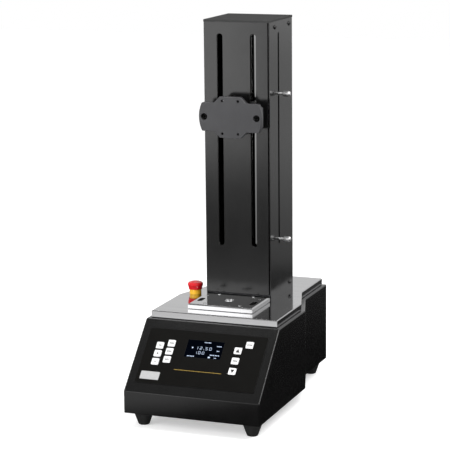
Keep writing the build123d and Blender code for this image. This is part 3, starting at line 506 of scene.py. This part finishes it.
def table_washers_and_shade():
    """Black slotted washers that fill the table's two slots under the screw heads, and also paint the shade
    in the slots.
    """
    low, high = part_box("table_screws")
    head_r = (high.y - low.y) / 2
    seat = high.z - TABLE_HEAD * head_r
    outline = rounded_box(width=8.6 * MM, height=22.6 * MM, corner=4.2 * MM, count=8)
    thickness = 1.2 * MM
    edge = 0.2 * MM
    bm = bmesh.new()
    for x in (low.x + head_r, high.x - head_r):
        place = Matrix.Translation((x, (low.y + high.y) / 2, seat))
        plate(bm, outline, thickness, place, edge)
    # Black washers paint the shade in the slots
    add_piece(bm, "table_washers_and_shade", "frame", MATERIALS["black_oxide_steel"])


def hole_pattern(mount):
    """Places of a mount's four holes about their middle, and the radius of one."""
    size = mount_sizes[mount]
    across = size["spacing_x_mm"] / 2 * MM
    along = size["spacing_y_mm"] / 2 * MM
    places = [(u, v) for u in (-across, across) for v in (-along, along)]
    return places, size["hole_r_mm"] * MM


def hole_thread(bm, place, hole_r, depth, pitch):
    """Thread in a hole that starts at height 0, as a sleeve with ridges a pitch apart."""
    wall = hole_r - 0.03 * MM
    root = hole_r - 0.05 * MM
    crest = root - pitch / 2
    turns = int(depth / pitch) - 1
    rings = []
    for turn in range(turns):
        rings += [ring(crest, (turn + 0.5) * pitch), ring(root, (turn + 1) * pitch)]
    closed_ring(bm, [*rings, ring(wall, turns * pitch), ring(wall, 0.5 * pitch)], place)


def gauge_threads_and_shade():
    """Threads in the gauge plate's four holes, near-black so that they also paint the shade inside the
    holes.
    """
    low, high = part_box("mounting_bracket")
    centre = (low + high) / 2
    places, hole_r = hole_pattern("gauge_bolts")
    pitch = 0.7 * MM
    bm = bmesh.new()
    for x, z in places:
        start = (centre.x + x, high.y, centre.z + z)
        hole_thread(bm, facing(start, FRONT), hole_r, high.y - low.y, pitch)
    # Near-black sleeves paint the shade inside the holes
    add_piece(bm, "gauge_threads_and_shade", "crosshead", MATERIALS["black_oxide_steel"])


def table_threads():
    """Threads in the table's middle bore and in the four holes round it."""
    low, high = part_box("specimen_table")
    centre = (low + high) / 2
    lead_in = 0.8 * MM
    depth = high.z - low.z - lead_in
    bore_r = mount_sizes["table_bore"]["r_mm"] * MM
    bore_pitch = 1.5 * MM
    places, hole_r = hole_pattern("table_bolts")
    hole_pitch = 0.8 * MM
    bm = bmesh.new()
    hole_thread(bm, Matrix.Translation((centre.x, centre.y, low.z)), bore_r, depth, bore_pitch)
    for x, y in places:
        start = Matrix.Translation((centre.x + x, centre.y + y, low.z))
        hole_thread(bm, start, hole_r, depth, hole_pitch)
    add_piece(bm, "table_threads", "frame", MATERIALS["knurled_chrome"])


def table_pins():
    """Two dowel pins with round ends that locate the table on the deck."""
    low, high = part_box("specimen_table")
    centre = (low + high) / 2
    pin_x = 47.3 * MM
    pin_y = 19.6 * MM
    pin_r = 1.7 * MM
    foot = 0.1 * MM
    crown_h = 0.8 * MM
    shoulder = high.z - low.z - crown_h / 2
    crown = [ring(pin_r * cos(a), shoulder + crown_h * sin(a)) for a in (0, 0.4, 0.8, 1.2, 1.5)]
    bm = bmesh.new()
    for x in (-pin_x, pin_x):
        place = Matrix.Translation((centre.x + x, centre.y + pin_y, low.z))
        skin(bm, [ring(pin_r, foot), *crown], place)
    add_piece(bm, "table_pins", "frame", MATERIALS["knurled_chrome"])


def cover_screws():
    """Button screws near the ends of the column's two sides, which hold its cover."""
    low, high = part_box("column_cover")
    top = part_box("column_top_plate")[1].z
    head_r = 4.2 * MM
    head_h = 2.4 * MM
    inset = 13 * MM
    front_y = low.y + 26 * MM
    rear_y = high.y - 18 * MM
    bm = bmesh.new()
    for side, wall in ((-1, low.x), (1, high.x)):
        for y, z in ((front_y, top - inset), (rear_y, top - inset), (rear_y, low.z + inset)):
            button_screw(bm, facing((wall, y, z), side * RIGHT), head_r, head_h)
    add_piece(bm, "cover_screws", "frame", SCREW_BLACK)


def bottom_screws():
    """Button screws under the bottom plate."""
    low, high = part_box("bottom_plate")
    head_r = 3 * MM
    head_h = 1.5 * MM
    inset = 60 * MM
    front_x = high.x - 12 * MM
    rear_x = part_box("foot_rear_right")[1].x
    bm = bmesh.new()
    for x, y in ((front_x, low.y + inset), (front_x, 0), (rear_x, high.y - inset)):
        for side in (-1, 1):
            button_screw(bm, facing((side * x, y, low.z), -UP), head_r, head_h)
    add_piece(bm, "bottom_screws", "frame", MATERIALS["black_oxide_steel"])


# Thumb screws and lead screw

def knurl_row(radius, row):
    """One row of a diamond knurl: points stand up and sink by turns, the other way on the next row."""
    depth = 0.05 * radius
    return lambda angle: radius - depth * (1 + cos(angle * SEGMENTS / 2 + row * pi)) / 2


def thumb_screw(name, node, body):
    """Threaded shank and a knurled head with turned ends, in place of the plain one."""
    low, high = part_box(node)
    axis = (low + high) / 2
    head_r = (high.y - low.y) / 2
    outer = [v.co for v in nodes[node].data.vertices if (v.co - axis).yz.length > 0.9 * head_r]
    head_start = min(point.x for point in outer)
    head_l = high.x - head_start

    shank_r = 2.1 * MM
    tip_r = shank_r - 0.3 * MM
    thread_depth = 0.25 * MM
    thread_start = low.x + 0.4 * MM
    thread_l = head_start - 0.8 * MM - thread_start
    steps = 20
    rings = [ring(tip_r, low.x)]
    for i in range(steps):
        rings.append(ring(shank_r - (i % 2) * thread_depth, thread_start + thread_l * i / (steps - 1)))

    neck_r = 0.62 * head_r
    shoulder_r = 0.86 * head_r
    shoulder = head_start + 0.03 * head_l
    knurl_start = head_start + 0.10 * head_l
    knurl_l = 0.56 * head_l
    teeth = 7
    rings += [ring(neck_r, head_start), ring(shoulder_r, shoulder)]
    for i in range(teeth + 1):
        rings.append(ring(knurl_row(head_r, i), knurl_start + knurl_l * i / teeth))

    flat_r = 0.35 * head_r
    round_r = 0.62 * head_r
    crown_start = head_start + 0.70 * head_l
    crown_l = 0.30 * head_l
    for angle in (0.1, 0.5, 0.9, 1.25):
        rings.append(ring(flat_r + round_r * cos(angle), crown_start + crown_l * sin(angle)))
    bm = bmesh.new()
    skin(bm, rings, facing((0, axis.y, axis.z), RIGHT))
    add_piece(bm, name, body, MATERIALS["knurled_chrome"], [node])


def lead_screw():
    """Two-start trapezoidal thread between the bearings, with plain journals."""
    lead = 10 * MM
    starts = 2
    crest = 8 * MM
    root = 6 * MM
    journal = 7.5 * MM
    steps = 24
    spare_turns = 2
    low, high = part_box("lead_screw")
    centre = (low + high) / 2
    thread_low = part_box("lower_bearing")[1].z
    thread_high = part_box("upper_bearing")[0].z

    # Section of one turn: heights and radii
    pitch = lead / starts
    profile = []
    for start in range(starts):
        for share, radius in ((0, crest), (0.37, crest), (0.5, root), (0.87, root)):
            profile.append((pitch * (start + share), radius))
    profile.append((lead, crest))

    bm = bmesh.new()
    rows = []
    turns = int((thread_high - thread_low) / lead) + spare_turns + 1
    for k in range(turns * steps):
        angle = tau * k / steps
        base = thread_low + lead * (k / steps - spare_turns)
        row = [(centre.x + r * cos(angle), centre.y + r * sin(angle), base + h) for h, r in profile]
        rows.append([bm.verts.new(point) for point in row])
    for now, after in zip(rows, rows[1:]):
        for i in range(len(profile) - 1):
            bm.faces.new((now[i], after[i], after[i + 1], now[i + 1]))
    bmesh.ops.remove_doubles(bm, verts=bm.verts, dist=TOLERANCE / 10)

    # Flat ends
    for height, normal in ((thread_low, -UP), (thread_high, UP)):
        cut = bm.verts[:] + bm.edges[:] + bm.faces[:]
        bmesh.ops.bisect_plane(bm, geom=cut, plane_co=(0, 0, height), plane_no=normal, clear_outer=True)
        open_edges = [edge for edge in bm.edges if edge.is_boundary]
        rim = [edge for edge in open_edges if abs(edge.verts[0].co.z - height) < TOLERANCE]
        bmesh.ops.holes_fill(bm, edges=rim)
    place = Matrix.Translation((centre.x, centre.y, 0))
    for bottom, top in ((low.z, thread_low), (thread_high, high.z)):
        skin(bm, [ring(journal, bottom), ring(journal, top)], place)
    add_piece(bm, "lead_screw_thread", "screw", MATERIALS["black_oxide_steel"],
              ["lead_screw"])


# Display

# Ends of a numeral's bars, as shares of its width and height, and the bars of each numeral
SEGMENT_BARS = {
    "a": ((0, 1), (1, 1)), "b": ((1, 1), (1, 0.5)), "c": ((1, 0.5), (1, 0)), "d": ((0, 0), (1, 0)),
    "e": ((0, 0.5), (0, 0)), "f": ((0, 1), (0, 0.5)), "g": ((0, 0.5), (1, 0.5)),
}
NUMERALS = {"0": "abcdef", "1": "bc", "2": "abged", "5": "afgcd"}
NUMERAL_W = 3.2 * MM
STROKE = 0.6 * MM

# Two lines of numerals: their height up the window, how tall they are, and each one's place across in mm
UPPER_Y = 1.9 * MM
UPPER_H = 5.0 * MM
UPPER_LINE = (("1", -13.3), ("2", -6.2), ("5", 3.6), ("0", 10.4))
LOWER_Y = -6.8 * MM
LOWER_H = 4.6 * MM
LOWER_LINE = (("1", -13.3), ("0", -7.0), ("0", -0.4))

# Status blocks in mm: place across and up, width and height of a row, and how many blocks it has
BLOCK_ROWS = (
    (3.0, 13.2, 12.0, 1.6, 5), (24.4, 7.7, 9.0, 1.5, 4), (24.4, -1.0, 5.0, 1.5, 2),
    (20.3, -9.4, 17.0, 1.7, 6), (-20.7, -14.2, 13.0, 1.5, 5), (22.5, -14.4, 4.0, 1.4, 2),
)


def bar_outline(start, end, width):
    """Bar between two points with pointed ends."""
    start = Vector(start)
    end = Vector(end)
    along = (end - start).normalized() * width / 2
    side = Vector((-along.y, along.x))
    return [start, start + along + side, end - along + side, end, end - along - side, start + along - side]


def numeral(bm, place, digit, x, y, height):
    """Seven-segment numeral centred at x, y."""
    for name in NUMERALS[digit]:
        ends = [(x + (u - 0.5) * NUMERAL_W, y + (v - 0.5) * height) for u, v in SEGMENT_BARS[name]]
        plate(bm, bar_outline(*ends, STROKE), PRINT_T, place)


def block_row(bm, place, x, y, width, height, count):
    """Row of short blocks where a display shows small characters."""
    pitch = width / count
    box = rounded_box(0.66 * pitch, height, 0.2 * height, 2)
    for i in range(count):
        left = x - width / 2 + i * pitch
        plate(bm, box, PRINT_T, place @ Matrix.Translation((left + pitch / 2, y, 0)))


def display_reading():
    """Generic numbers and status blocks on the display window."""
    place = slope_face("display_window")
    point = rounded_box(width=0.9 * MM, height=0.9 * MM, corner=0.2 * MM, count=2)
    point_place = Matrix.Translation((-1.2 * MM, -0.7 * MM, 0))
    diamond = rounded_box(width=2.4 * MM, height=2.4 * MM, corner=0.5 * MM, count=3)
    diamond_place = Matrix.Translation((-21 * MM, UPPER_Y, 0)) @ Matrix.Rotation(pi / 4, 4, "Z")
    sign = rounded_box(width=3.6 * MM, height=2.8 * MM, corner=0.6 * MM, count=3)
    sign_place = Matrix.Translation((11.6 * MM, -13.8 * MM, 0))
    bm = bmesh.new()
    for digit, x in UPPER_LINE:
        numeral(bm, place, digit, x * MM, UPPER_Y, UPPER_H)
    plate(bm, point, PRINT_T, place @ point_place)
    plate(bm, diamond, PRINT_T, place @ diamond_place)
    for digit, x in LOWER_LINE:
        numeral(bm, place, digit, x * MM, LOWER_Y, LOWER_H)
    for x, y, width, height, count in BLOCK_ROWS:
        block_row(bm, place, x * MM, y * MM, width * MM, height * MM, count)
    plate(bm, sign, PRINT_T, place @ sign_place)
    add_piece(bm, "display_reading", "frame", DISPLAY_LIGHT)


# Keys

def triangle(size, turn):
    """Triangle that points up the slope, turned about its middle."""
    corners = ((-0.55 * size, -0.5 * size), (0.55 * size, -0.5 * size), (0, 0.5 * size))
    return [(x * cos(turn) - y * sin(turn), x * sin(turn) + y * cos(turn)) for x, y in corners]


def blocks(count, width, height):
    """Outlines of a row of blocks about the middle, where a key has a short word."""
    pitch = width / count
    box = rounded_box(0.72 * pitch, height, 0.15 * height, 2)
    return [moved(box, (i - (count - 1) / 2) * pitch, 0) for i in range(count)]


ARROW = 6.4 * MM
LEGENDS = {
    "key_left_outer_1": (blocks(3, 5.0 * MM, 2.0 * MM), FAINT_INK),
    "key_left_outer_2": (blocks(1, 3.6 * MM, 2.6 * MM), LEGEND_INK),
    "key_left_outer_3": (blocks(2, 4.0 * MM, 1.4 * MM), FAINT_INK),
    "key_left_inner_1": (blocks(4, 7.6 * MM, 2.2 * MM), FAINT_INK),
    "key_left_inner_2": (blocks(4, 7.6 * MM, 2.2 * MM), FAINT_INK),
    "key_left_inner_3": (blocks(3, 6.6 * MM, 2.2 * MM), FAINT_INK),
    "key_up": ([triangle(ARROW, 0)], LEGEND_INK),
    "key_stop": (blocks(4, 8.0 * MM, 2.4 * MM), FAINT_INK),
    "key_down": ([triangle(ARROW, pi)], LEGEND_INK),
    "key_menu": (blocks(4, 8.6 * MM, 2.4 * MM), FAINT_INK),
}


def key_legends():
    """Blocks or a triangle on each key."""
    for key, (outlines, ink) in LEGENDS.items():
        place = slope_face(key)
        bm = bmesh.new()
        for outline in outlines:
            plate(bm, outline, PRINT_T, place)
        add_piece(bm, f"legend_{key}", key, ink)


# Overlay

def overlay_print():
    """Thin gold rule under the display, and a bare label at the lower left."""
    place = slope_face("front_overlay")
    rule = rounded_box(width=83 * MM, height=0.9 * MM, corner=0.3 * MM, count=2)
    bm = bmesh.new()
    plate(bm, moved(rule, x=-0.8 * MM, y=-22.5 * MM), PRINT_T, place)
    add_piece(bm, "overlay_rule", "frame", GOLD_INK)
    label = rounded_box(width=33 * MM, height=14.8 * MM, corner=1.2 * MM)
    label_t = 4 * PRINT_T
    bm = bmesh.new()
    plate(bm, moved(label, x=-80.5 * MM, y=-37.6 * MM), label_t, place, edge=PRINT_T)
    add_piece(bm, "blank_label", "frame", LABEL_PAPER)


# Emergency stop

def estop_arrows():
    """Three curved arrows on the head, which show the way it twists."""
    low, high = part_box("estop_head")
    centre = (low + high) / 2
    crown_r = (high.x - low.x) / 2
    dome = 28.9 * MM
    inner = 0.56 * crown_r
    outer = 0.70 * crown_r
    tip = (inner + outer) / 2
    tip_half = 0.02 * MM
    barb = 1.2 * MM
    sunk = -0.1 * MM
    proud = 0.06 * MM
    arrows = 3
    sweep = 1.2
    head_sweep = 0.28
    steps = 8
    bm = bmesh.new()

    def on_crown(radius, angle, lift):
        """Point on the head's crown, lifted off it."""
        height = high.z - dome + sqrt(dome ** 2 - radius ** 2) + lift
        return bm.verts.new((centre.x + radius * cos(angle), centre.y + radius * sin(angle), height))

    for arrow in range(arrows):
        start = tau * arrow / arrows
        spine = [(start - sweep * i / steps, inner, outer) for i in range(steps + 1)]
        end = spine[-1][0]
        spine += [(end, inner - barb, outer + barb), (end - head_sweep, tip - tip_half, tip + tip_half)]
        layers = []
        for lift in (sunk, proud):
            left = [on_crown(a, angle, lift) for angle, a, _ in spine]
            right = [on_crown(b, angle, lift) for angle, _, b in spine]
            layers.append((left, right))
        for (left, right), flip in zip(layers, (True, False)):
            for i in range(len(spine) - 1):
                quad = [left[i], left[i + 1], right[i + 1], right[i]]
                bm.faces.new(quad[::-1] if flip else quad)
        (back_left, back_right), (front_left, front_right) = layers
        rim_back = back_left + back_right[::-1]
        rim_front = front_left + front_right[::-1]
        for i in range(len(rim_back)):
            j = (i + 1) % len(rim_back)
            bm.faces.new((rim_back[i], rim_back[j], rim_front[j], rim_front[i]))
    add_piece(bm, "estop_arrows", "estop_button", MARK_ROSE)


# Rear panel

def inlet_pins():
    """Plated pins over the inlet's moulded cores."""
    centre = middle("power_inlet")
    pin_l = 12 * MM
    pin_edge = 0.6 * MM
    sides = rounded_box(width=2.3 * MM, height=4.3 * MM, corner=0.5 * MM, count=3)
    places = ((-7 * MM, -2 * MM), (0, 2 * MM), (7 * MM, -2 * MM))
    recess = 4.5 * MM
    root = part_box("power_inlet")[1].y - recess - pin_l
    bm = bmesh.new()
    for x, z in places:
        plate(bm, sides, pin_l, facing((centre.x + x, root, centre.z + z), BACK), pin_edge)
    add_piece(bm, "inlet_pins", "frame", MATERIALS["knurled_chrome"])


def inlet_screws():
    """Two screws of the inlet's flange."""
    centre = middle("power_inlet")
    head_r = 2.6 * MM
    head_h = 0.4 * MM
    reach = 20 * MM
    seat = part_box("power_inlet")[1].y - head_h
    bm = bmesh.new()
    for x in (-reach, reach):
        button_screw(bm, facing((centre.x + x, seat, centre.z), BACK), head_r, head_h)
    add_piece(bm, "inlet_screws", "frame", MATERIALS["black_oxide_steel"])


def rocker_marks():
    """Line and ring on the two halves of the mains rocker."""
    outer = 2.2 * MM
    inner = 1.6 * MM
    line = rounded_box(width=0.7 * MM, height=4.2 * MM, corner=0.2 * MM, count=2)
    facing_back = 0.9
    pivot = middle("power_rocker")
    halves = {True: [], False: []}
    for face in nodes["power_rocker"].data.polygons:
        if face.normal.y > facing_back:
            halves[face.center.z > pivot.z].append(face)
    bm = bmesh.new()
    for upper, faces in halves.items():
        area = sum(face.area for face in faces)
        centre = sum((face.center * face.area for face in faces), Vector()) / area
        place = facing(centre, faces[0].normal)
        if upper:
            section = [ring(outer, 0), ring(outer, PRINT_T), ring(inner, PRINT_T), ring(inner, 0)]
            closed_ring(bm, section, place)
        else:
            plate(bm, line, PRINT_T, place)
    add_piece(bm, "rocker_marks", "rocker", MARK_WHITE)


# Stage

# Floor as reflections show it, darker near the object as painted shade and with painted pools of light: a
# place, a reach, and grey levels at shares of that reach
FLOOR_PAINTED_SHADE = (
    (0, 0.05, 0), 4.0,
    ((0.10, 0.008), (0.235, 0.06), (0.27, 0.24), (0.38, 0.26), (0.50, 0.36), (0.70, 0.50)),
)
FLOOR_PAINTED_LIGHT = ((-0.27, -0.62, 0), 1.0, ((0.28, 0.98), (0.38, 0.0)))
FLOOR_PAINTED_REAR_LIGHT = ((-0.30, 0.60, 0), 1.0, ((0.32, 0.25), (0.48, 0.0)))

# Half the floor's width, and the light of its own that the camera sees
FLOOR_HALF = 6.0
FLOOR_LIFT = 0.45

# Way to the middle of the dark ceiling, the angles from there between which it fades, and light levels
CEILING = Vector((-0.36, -0.20, 0.91)).normalized()
CEILING_CORE = radians(15)
CEILING_RIM = radians(40)
CEILING_LIGHT = 0.25
AMBIENT_LIGHT = 0.78


def world_light():
    """Light from all round, weaker from the ceiling, and plain white where the camera sees it."""
    world = bpy.data.worlds.new("studio")
    bpy.context.scene.world = world
    world.use_nodes = True
    tree = world.node_tree
    tree.nodes.clear()
    ambient = tree.nodes.new("ShaderNodeBackground")
    ambient.inputs["Color"].default_value = (1, 1, 1, 1)
    place = tree.nodes.new("ShaderNodeTexCoord")
    toward = tree.nodes.new("ShaderNodeVectorMath")
    toward.operation = "DOT_PRODUCT"
    toward.inputs[1].default_value = CEILING
    level = tree.nodes.new("ShaderNodeMapRange")
    level.inputs["From Min"].default_value = cos(CEILING_RIM)
    level.inputs["From Max"].default_value = cos(CEILING_CORE)
    level.inputs["To Min"].default_value = AMBIENT_LIGHT
    level.inputs["To Max"].default_value = CEILING_LIGHT
    tree.links.new(place.outputs["Generated"], toward.inputs[0])
    tree.links.new(toward.outputs["Value"], level.inputs["Value"])
    tree.links.new(level.outputs["Result"], ambient.inputs["Strength"])
    seen = tree.nodes.new("ShaderNodeBackground")
    seen.inputs["Color"].default_value = (1, 1, 1, 1)
    seen.inputs["Strength"].default_value = 1.0
    mix = tree.nodes.new("ShaderNodeMixShader")
    output = tree.nodes.new("ShaderNodeOutputWorld")
    path = tree.nodes.new("ShaderNodeLightPath")
    tree.links.new(path.outputs["Is Camera Ray"], mix.inputs["Fac"])
    tree.links.new(ambient.outputs["Background"], mix.inputs[1])
    tree.links.new(seen.outputs["Background"], mix.inputs[2])
    tree.links.new(mix.outputs["Shader"], output.inputs["Surface"])


def either(tree, first, second):
    """The larger of two values."""
    join = tree.nodes.new("ShaderNodeMath")
    join.operation = "MAXIMUM"
    tree.links.new(first, join.inputs[0])
    tree.links.new(second, join.inputs[1])
    return join.outputs["Value"]


def mirrored(tree, path):
    """1 for a ray that a reflection or a refraction sends out."""
    return either(tree, path.outputs["Is Glossy Ray"], path.outputs["Is Transmission Ray"])


def fade(tree, centre, reach, levels):
    """Grey level by the distance from a place on the floor, given at shares of a reach."""
    place = tree.nodes.new("ShaderNodeTexCoord")
    away = tree.nodes.new("ShaderNodeVectorMath")
    away.operation = "DISTANCE"
    away.inputs[1].default_value = centre
    share = tree.nodes.new("ShaderNodeMapRange")
    share.inputs["From Max"].default_value = reach
    ramp = tree.nodes.new("ShaderNodeValToRGB")
    stops = ramp.color_ramp.elements
    while len(stops) < len(levels):
        stops.new(1.0)
    for stop, (position, level) in zip(stops, levels):
        stop.position = position
        stop.color = (*grey(level), 1)
    tree.links.new(place.outputs["Object"], away.inputs[0])
    tree.links.new(away.outputs["Value"], share.inputs["Value"])
    tree.links.new(share.outputs["Result"], ramp.inputs["Fac"])
    return ramp.outputs["Color"]


def floor_material():
    """Pale floor that the camera sees a little lifted, and that reflections show by its grey levels:
    painted shade near the object and painted pools of light.
    """
    shade_spots = 0.5
    material, tree, bsdf = shader("floor", grey(0.85), roughness=0.9, specular=0.1)
    mottle(tree, bsdf, noise(tree, shade_spots), grey(0.84), grey(0.86))
    path = tree.nodes.new("ShaderNodeLightPath")
    glow = tree.nodes.new("ShaderNodeEmission")
    glow.inputs["Strength"].default_value = FLOOR_LIFT
    lifted = tree.nodes.new("ShaderNodeAddShader")
    seen = tree.nodes.new("ShaderNodeMixShader")
    painted_reflection = tree.nodes.new("ShaderNodeEmission")
    choose = tree.nodes.new("ShaderNodeMixShader")
    # Reflections see painted shade near the object, lifted by painted pools of light
    painted_shade_and_light = either(tree, fade(tree, *FLOOR_PAINTED_SHADE), fade(tree, *FLOOR_PAINTED_LIGHT))
    level = either(tree, painted_shade_and_light, fade(tree, *FLOOR_PAINTED_REAR_LIGHT))
    tree.links.new(level, painted_reflection.inputs["Strength"])
    tree.links.new(bsdf.outputs["BSDF"], lifted.inputs[0])
    tree.links.new(glow.outputs["Emission"], lifted.inputs[1])
    tree.links.new(path.outputs["Is Camera Ray"], seen.inputs["Fac"])
    tree.links.new(bsdf.outputs["BSDF"], seen.inputs[1])
    tree.links.new(lifted.outputs["Shader"], seen.inputs[2])
    tree.links.new(mirrored(tree, path), choose.inputs["Fac"])
    tree.links.new(seen.outputs["Shader"], choose.inputs[1])
    tree.links.new(painted_reflection.outputs["Emission"], choose.inputs[2])
    tree.links.new(choose.outputs["Shader"], tree.nodes["Material Output"].inputs["Surface"])
    return material


def floor():
    """Level floor that keeps the object's shadow."""
    mesh = bpy.data.meshes.new("floor")
    corners = [(FLOOR_HALF * x, FLOOR_HALF * y, 0) for x, y in ((-1, -1), (1, -1), (1, 1), (-1, 1))]
    mesh.from_pydata(corners, [], [(0, 1, 2, 3)])
    mesh.materials.append(floor_material())
    plane = bpy.data.objects.new("floor", mesh)
    bpy.context.scene.collection.objects.link(plane)


def lamp(name, place, target, width, height, watts, gleams=True):
    """Soft rectangular light aimed at a target. One that doesn't gleam stays out of reflections."""
    data = bpy.data.lights.new(name, "AREA")
    data.shape = "RECTANGLE"
    data.size = width
    data.size_y = height
    data.energy = watts
    light = bpy.data.objects.new(name, data)
    light.matrix_world = facing(place, Vector(place) - Vector(target))
    light.visible_camera = False
    light.visible_glossy = gleams
    bpy.context.scene.collection.objects.link(light)


def lamps():
    """Lights like the photograph's, and one for the gleam on the slope's right fold."""
    lamp("key", (-0.83, -1.52, 0.45), (-0.05, 0.03, 0.45), width=0.70, height=0.65, watts=3.8)
    lamp("fill", (-1.0, -1.6, 1.0), (0, 0, 0.3), width=0.6, height=0.6, watts=18, gleams=False)
    lamp("rim", (1.5, 1.3, 1.6), (0, 0.05, 0.45), width=0.5, height=0.5, watts=10)
    lamp("overhead", (-0.53, -0.15, 1.56), (0, -0.15, 0.12), width=0.35, height=0.35, watts=3.1)
    lamp("glint", (0.77, -0.34, 1.22), (0.118, -0.165, 0.11), width=0.5, height=0.5, watts=8)


def camera():
    """The photograph's view."""
    target = Vector((-0.0234, 0.0098, 0.3014))
    distance = 3.145
    azimuth = radians(21.13)
    elevation = radians(11.44)
    roll = radians(-0.61)
    back = Vector((sin(azimuth) * cos(elevation), -cos(azimuth) * cos(elevation), sin(elevation)))
    level = Vector((cos(azimuth), sin(azimuth), 0))
    upright = back.cross(level)
    right = cos(roll) * level + sin(roll) * upright
    up = cos(roll) * upright - sin(roll) * level
    data = bpy.data.cameras.new("camera")
    data.sensor_width = 36
    data.lens = 147.96
    view = bpy.data.objects.new("camera", data)
    turn = Matrix((right, up, back)).transposed().to_4x4()
    view.matrix_world = Matrix.Translation(target + back * distance) @ turn
    bpy.context.scene.collection.objects.link(view)
    bpy.context.scene.camera = view


bpy.context.scene.view_settings.view_transform = "Standard"
camera()
world_light()
floor()
lamps()

finish_nodes()
bracket_screws()
table_screws()
table_washers_and_shade()
gauge_threads_and_shade()
table_threads()
table_pins()
cover_screws()
bottom_screws()
thumb_screw("upper_thumb_screw", "upper_stop_knob", "upper_knob")
thumb_screw("lower_thumb_screw", "lower_stop_knob", "lower_knob")
lead_screw()
display_reading()
key_legends()
overlay_print()
estop_arrows()
inlet_pins()
inlet_screws()
rocker_marks()
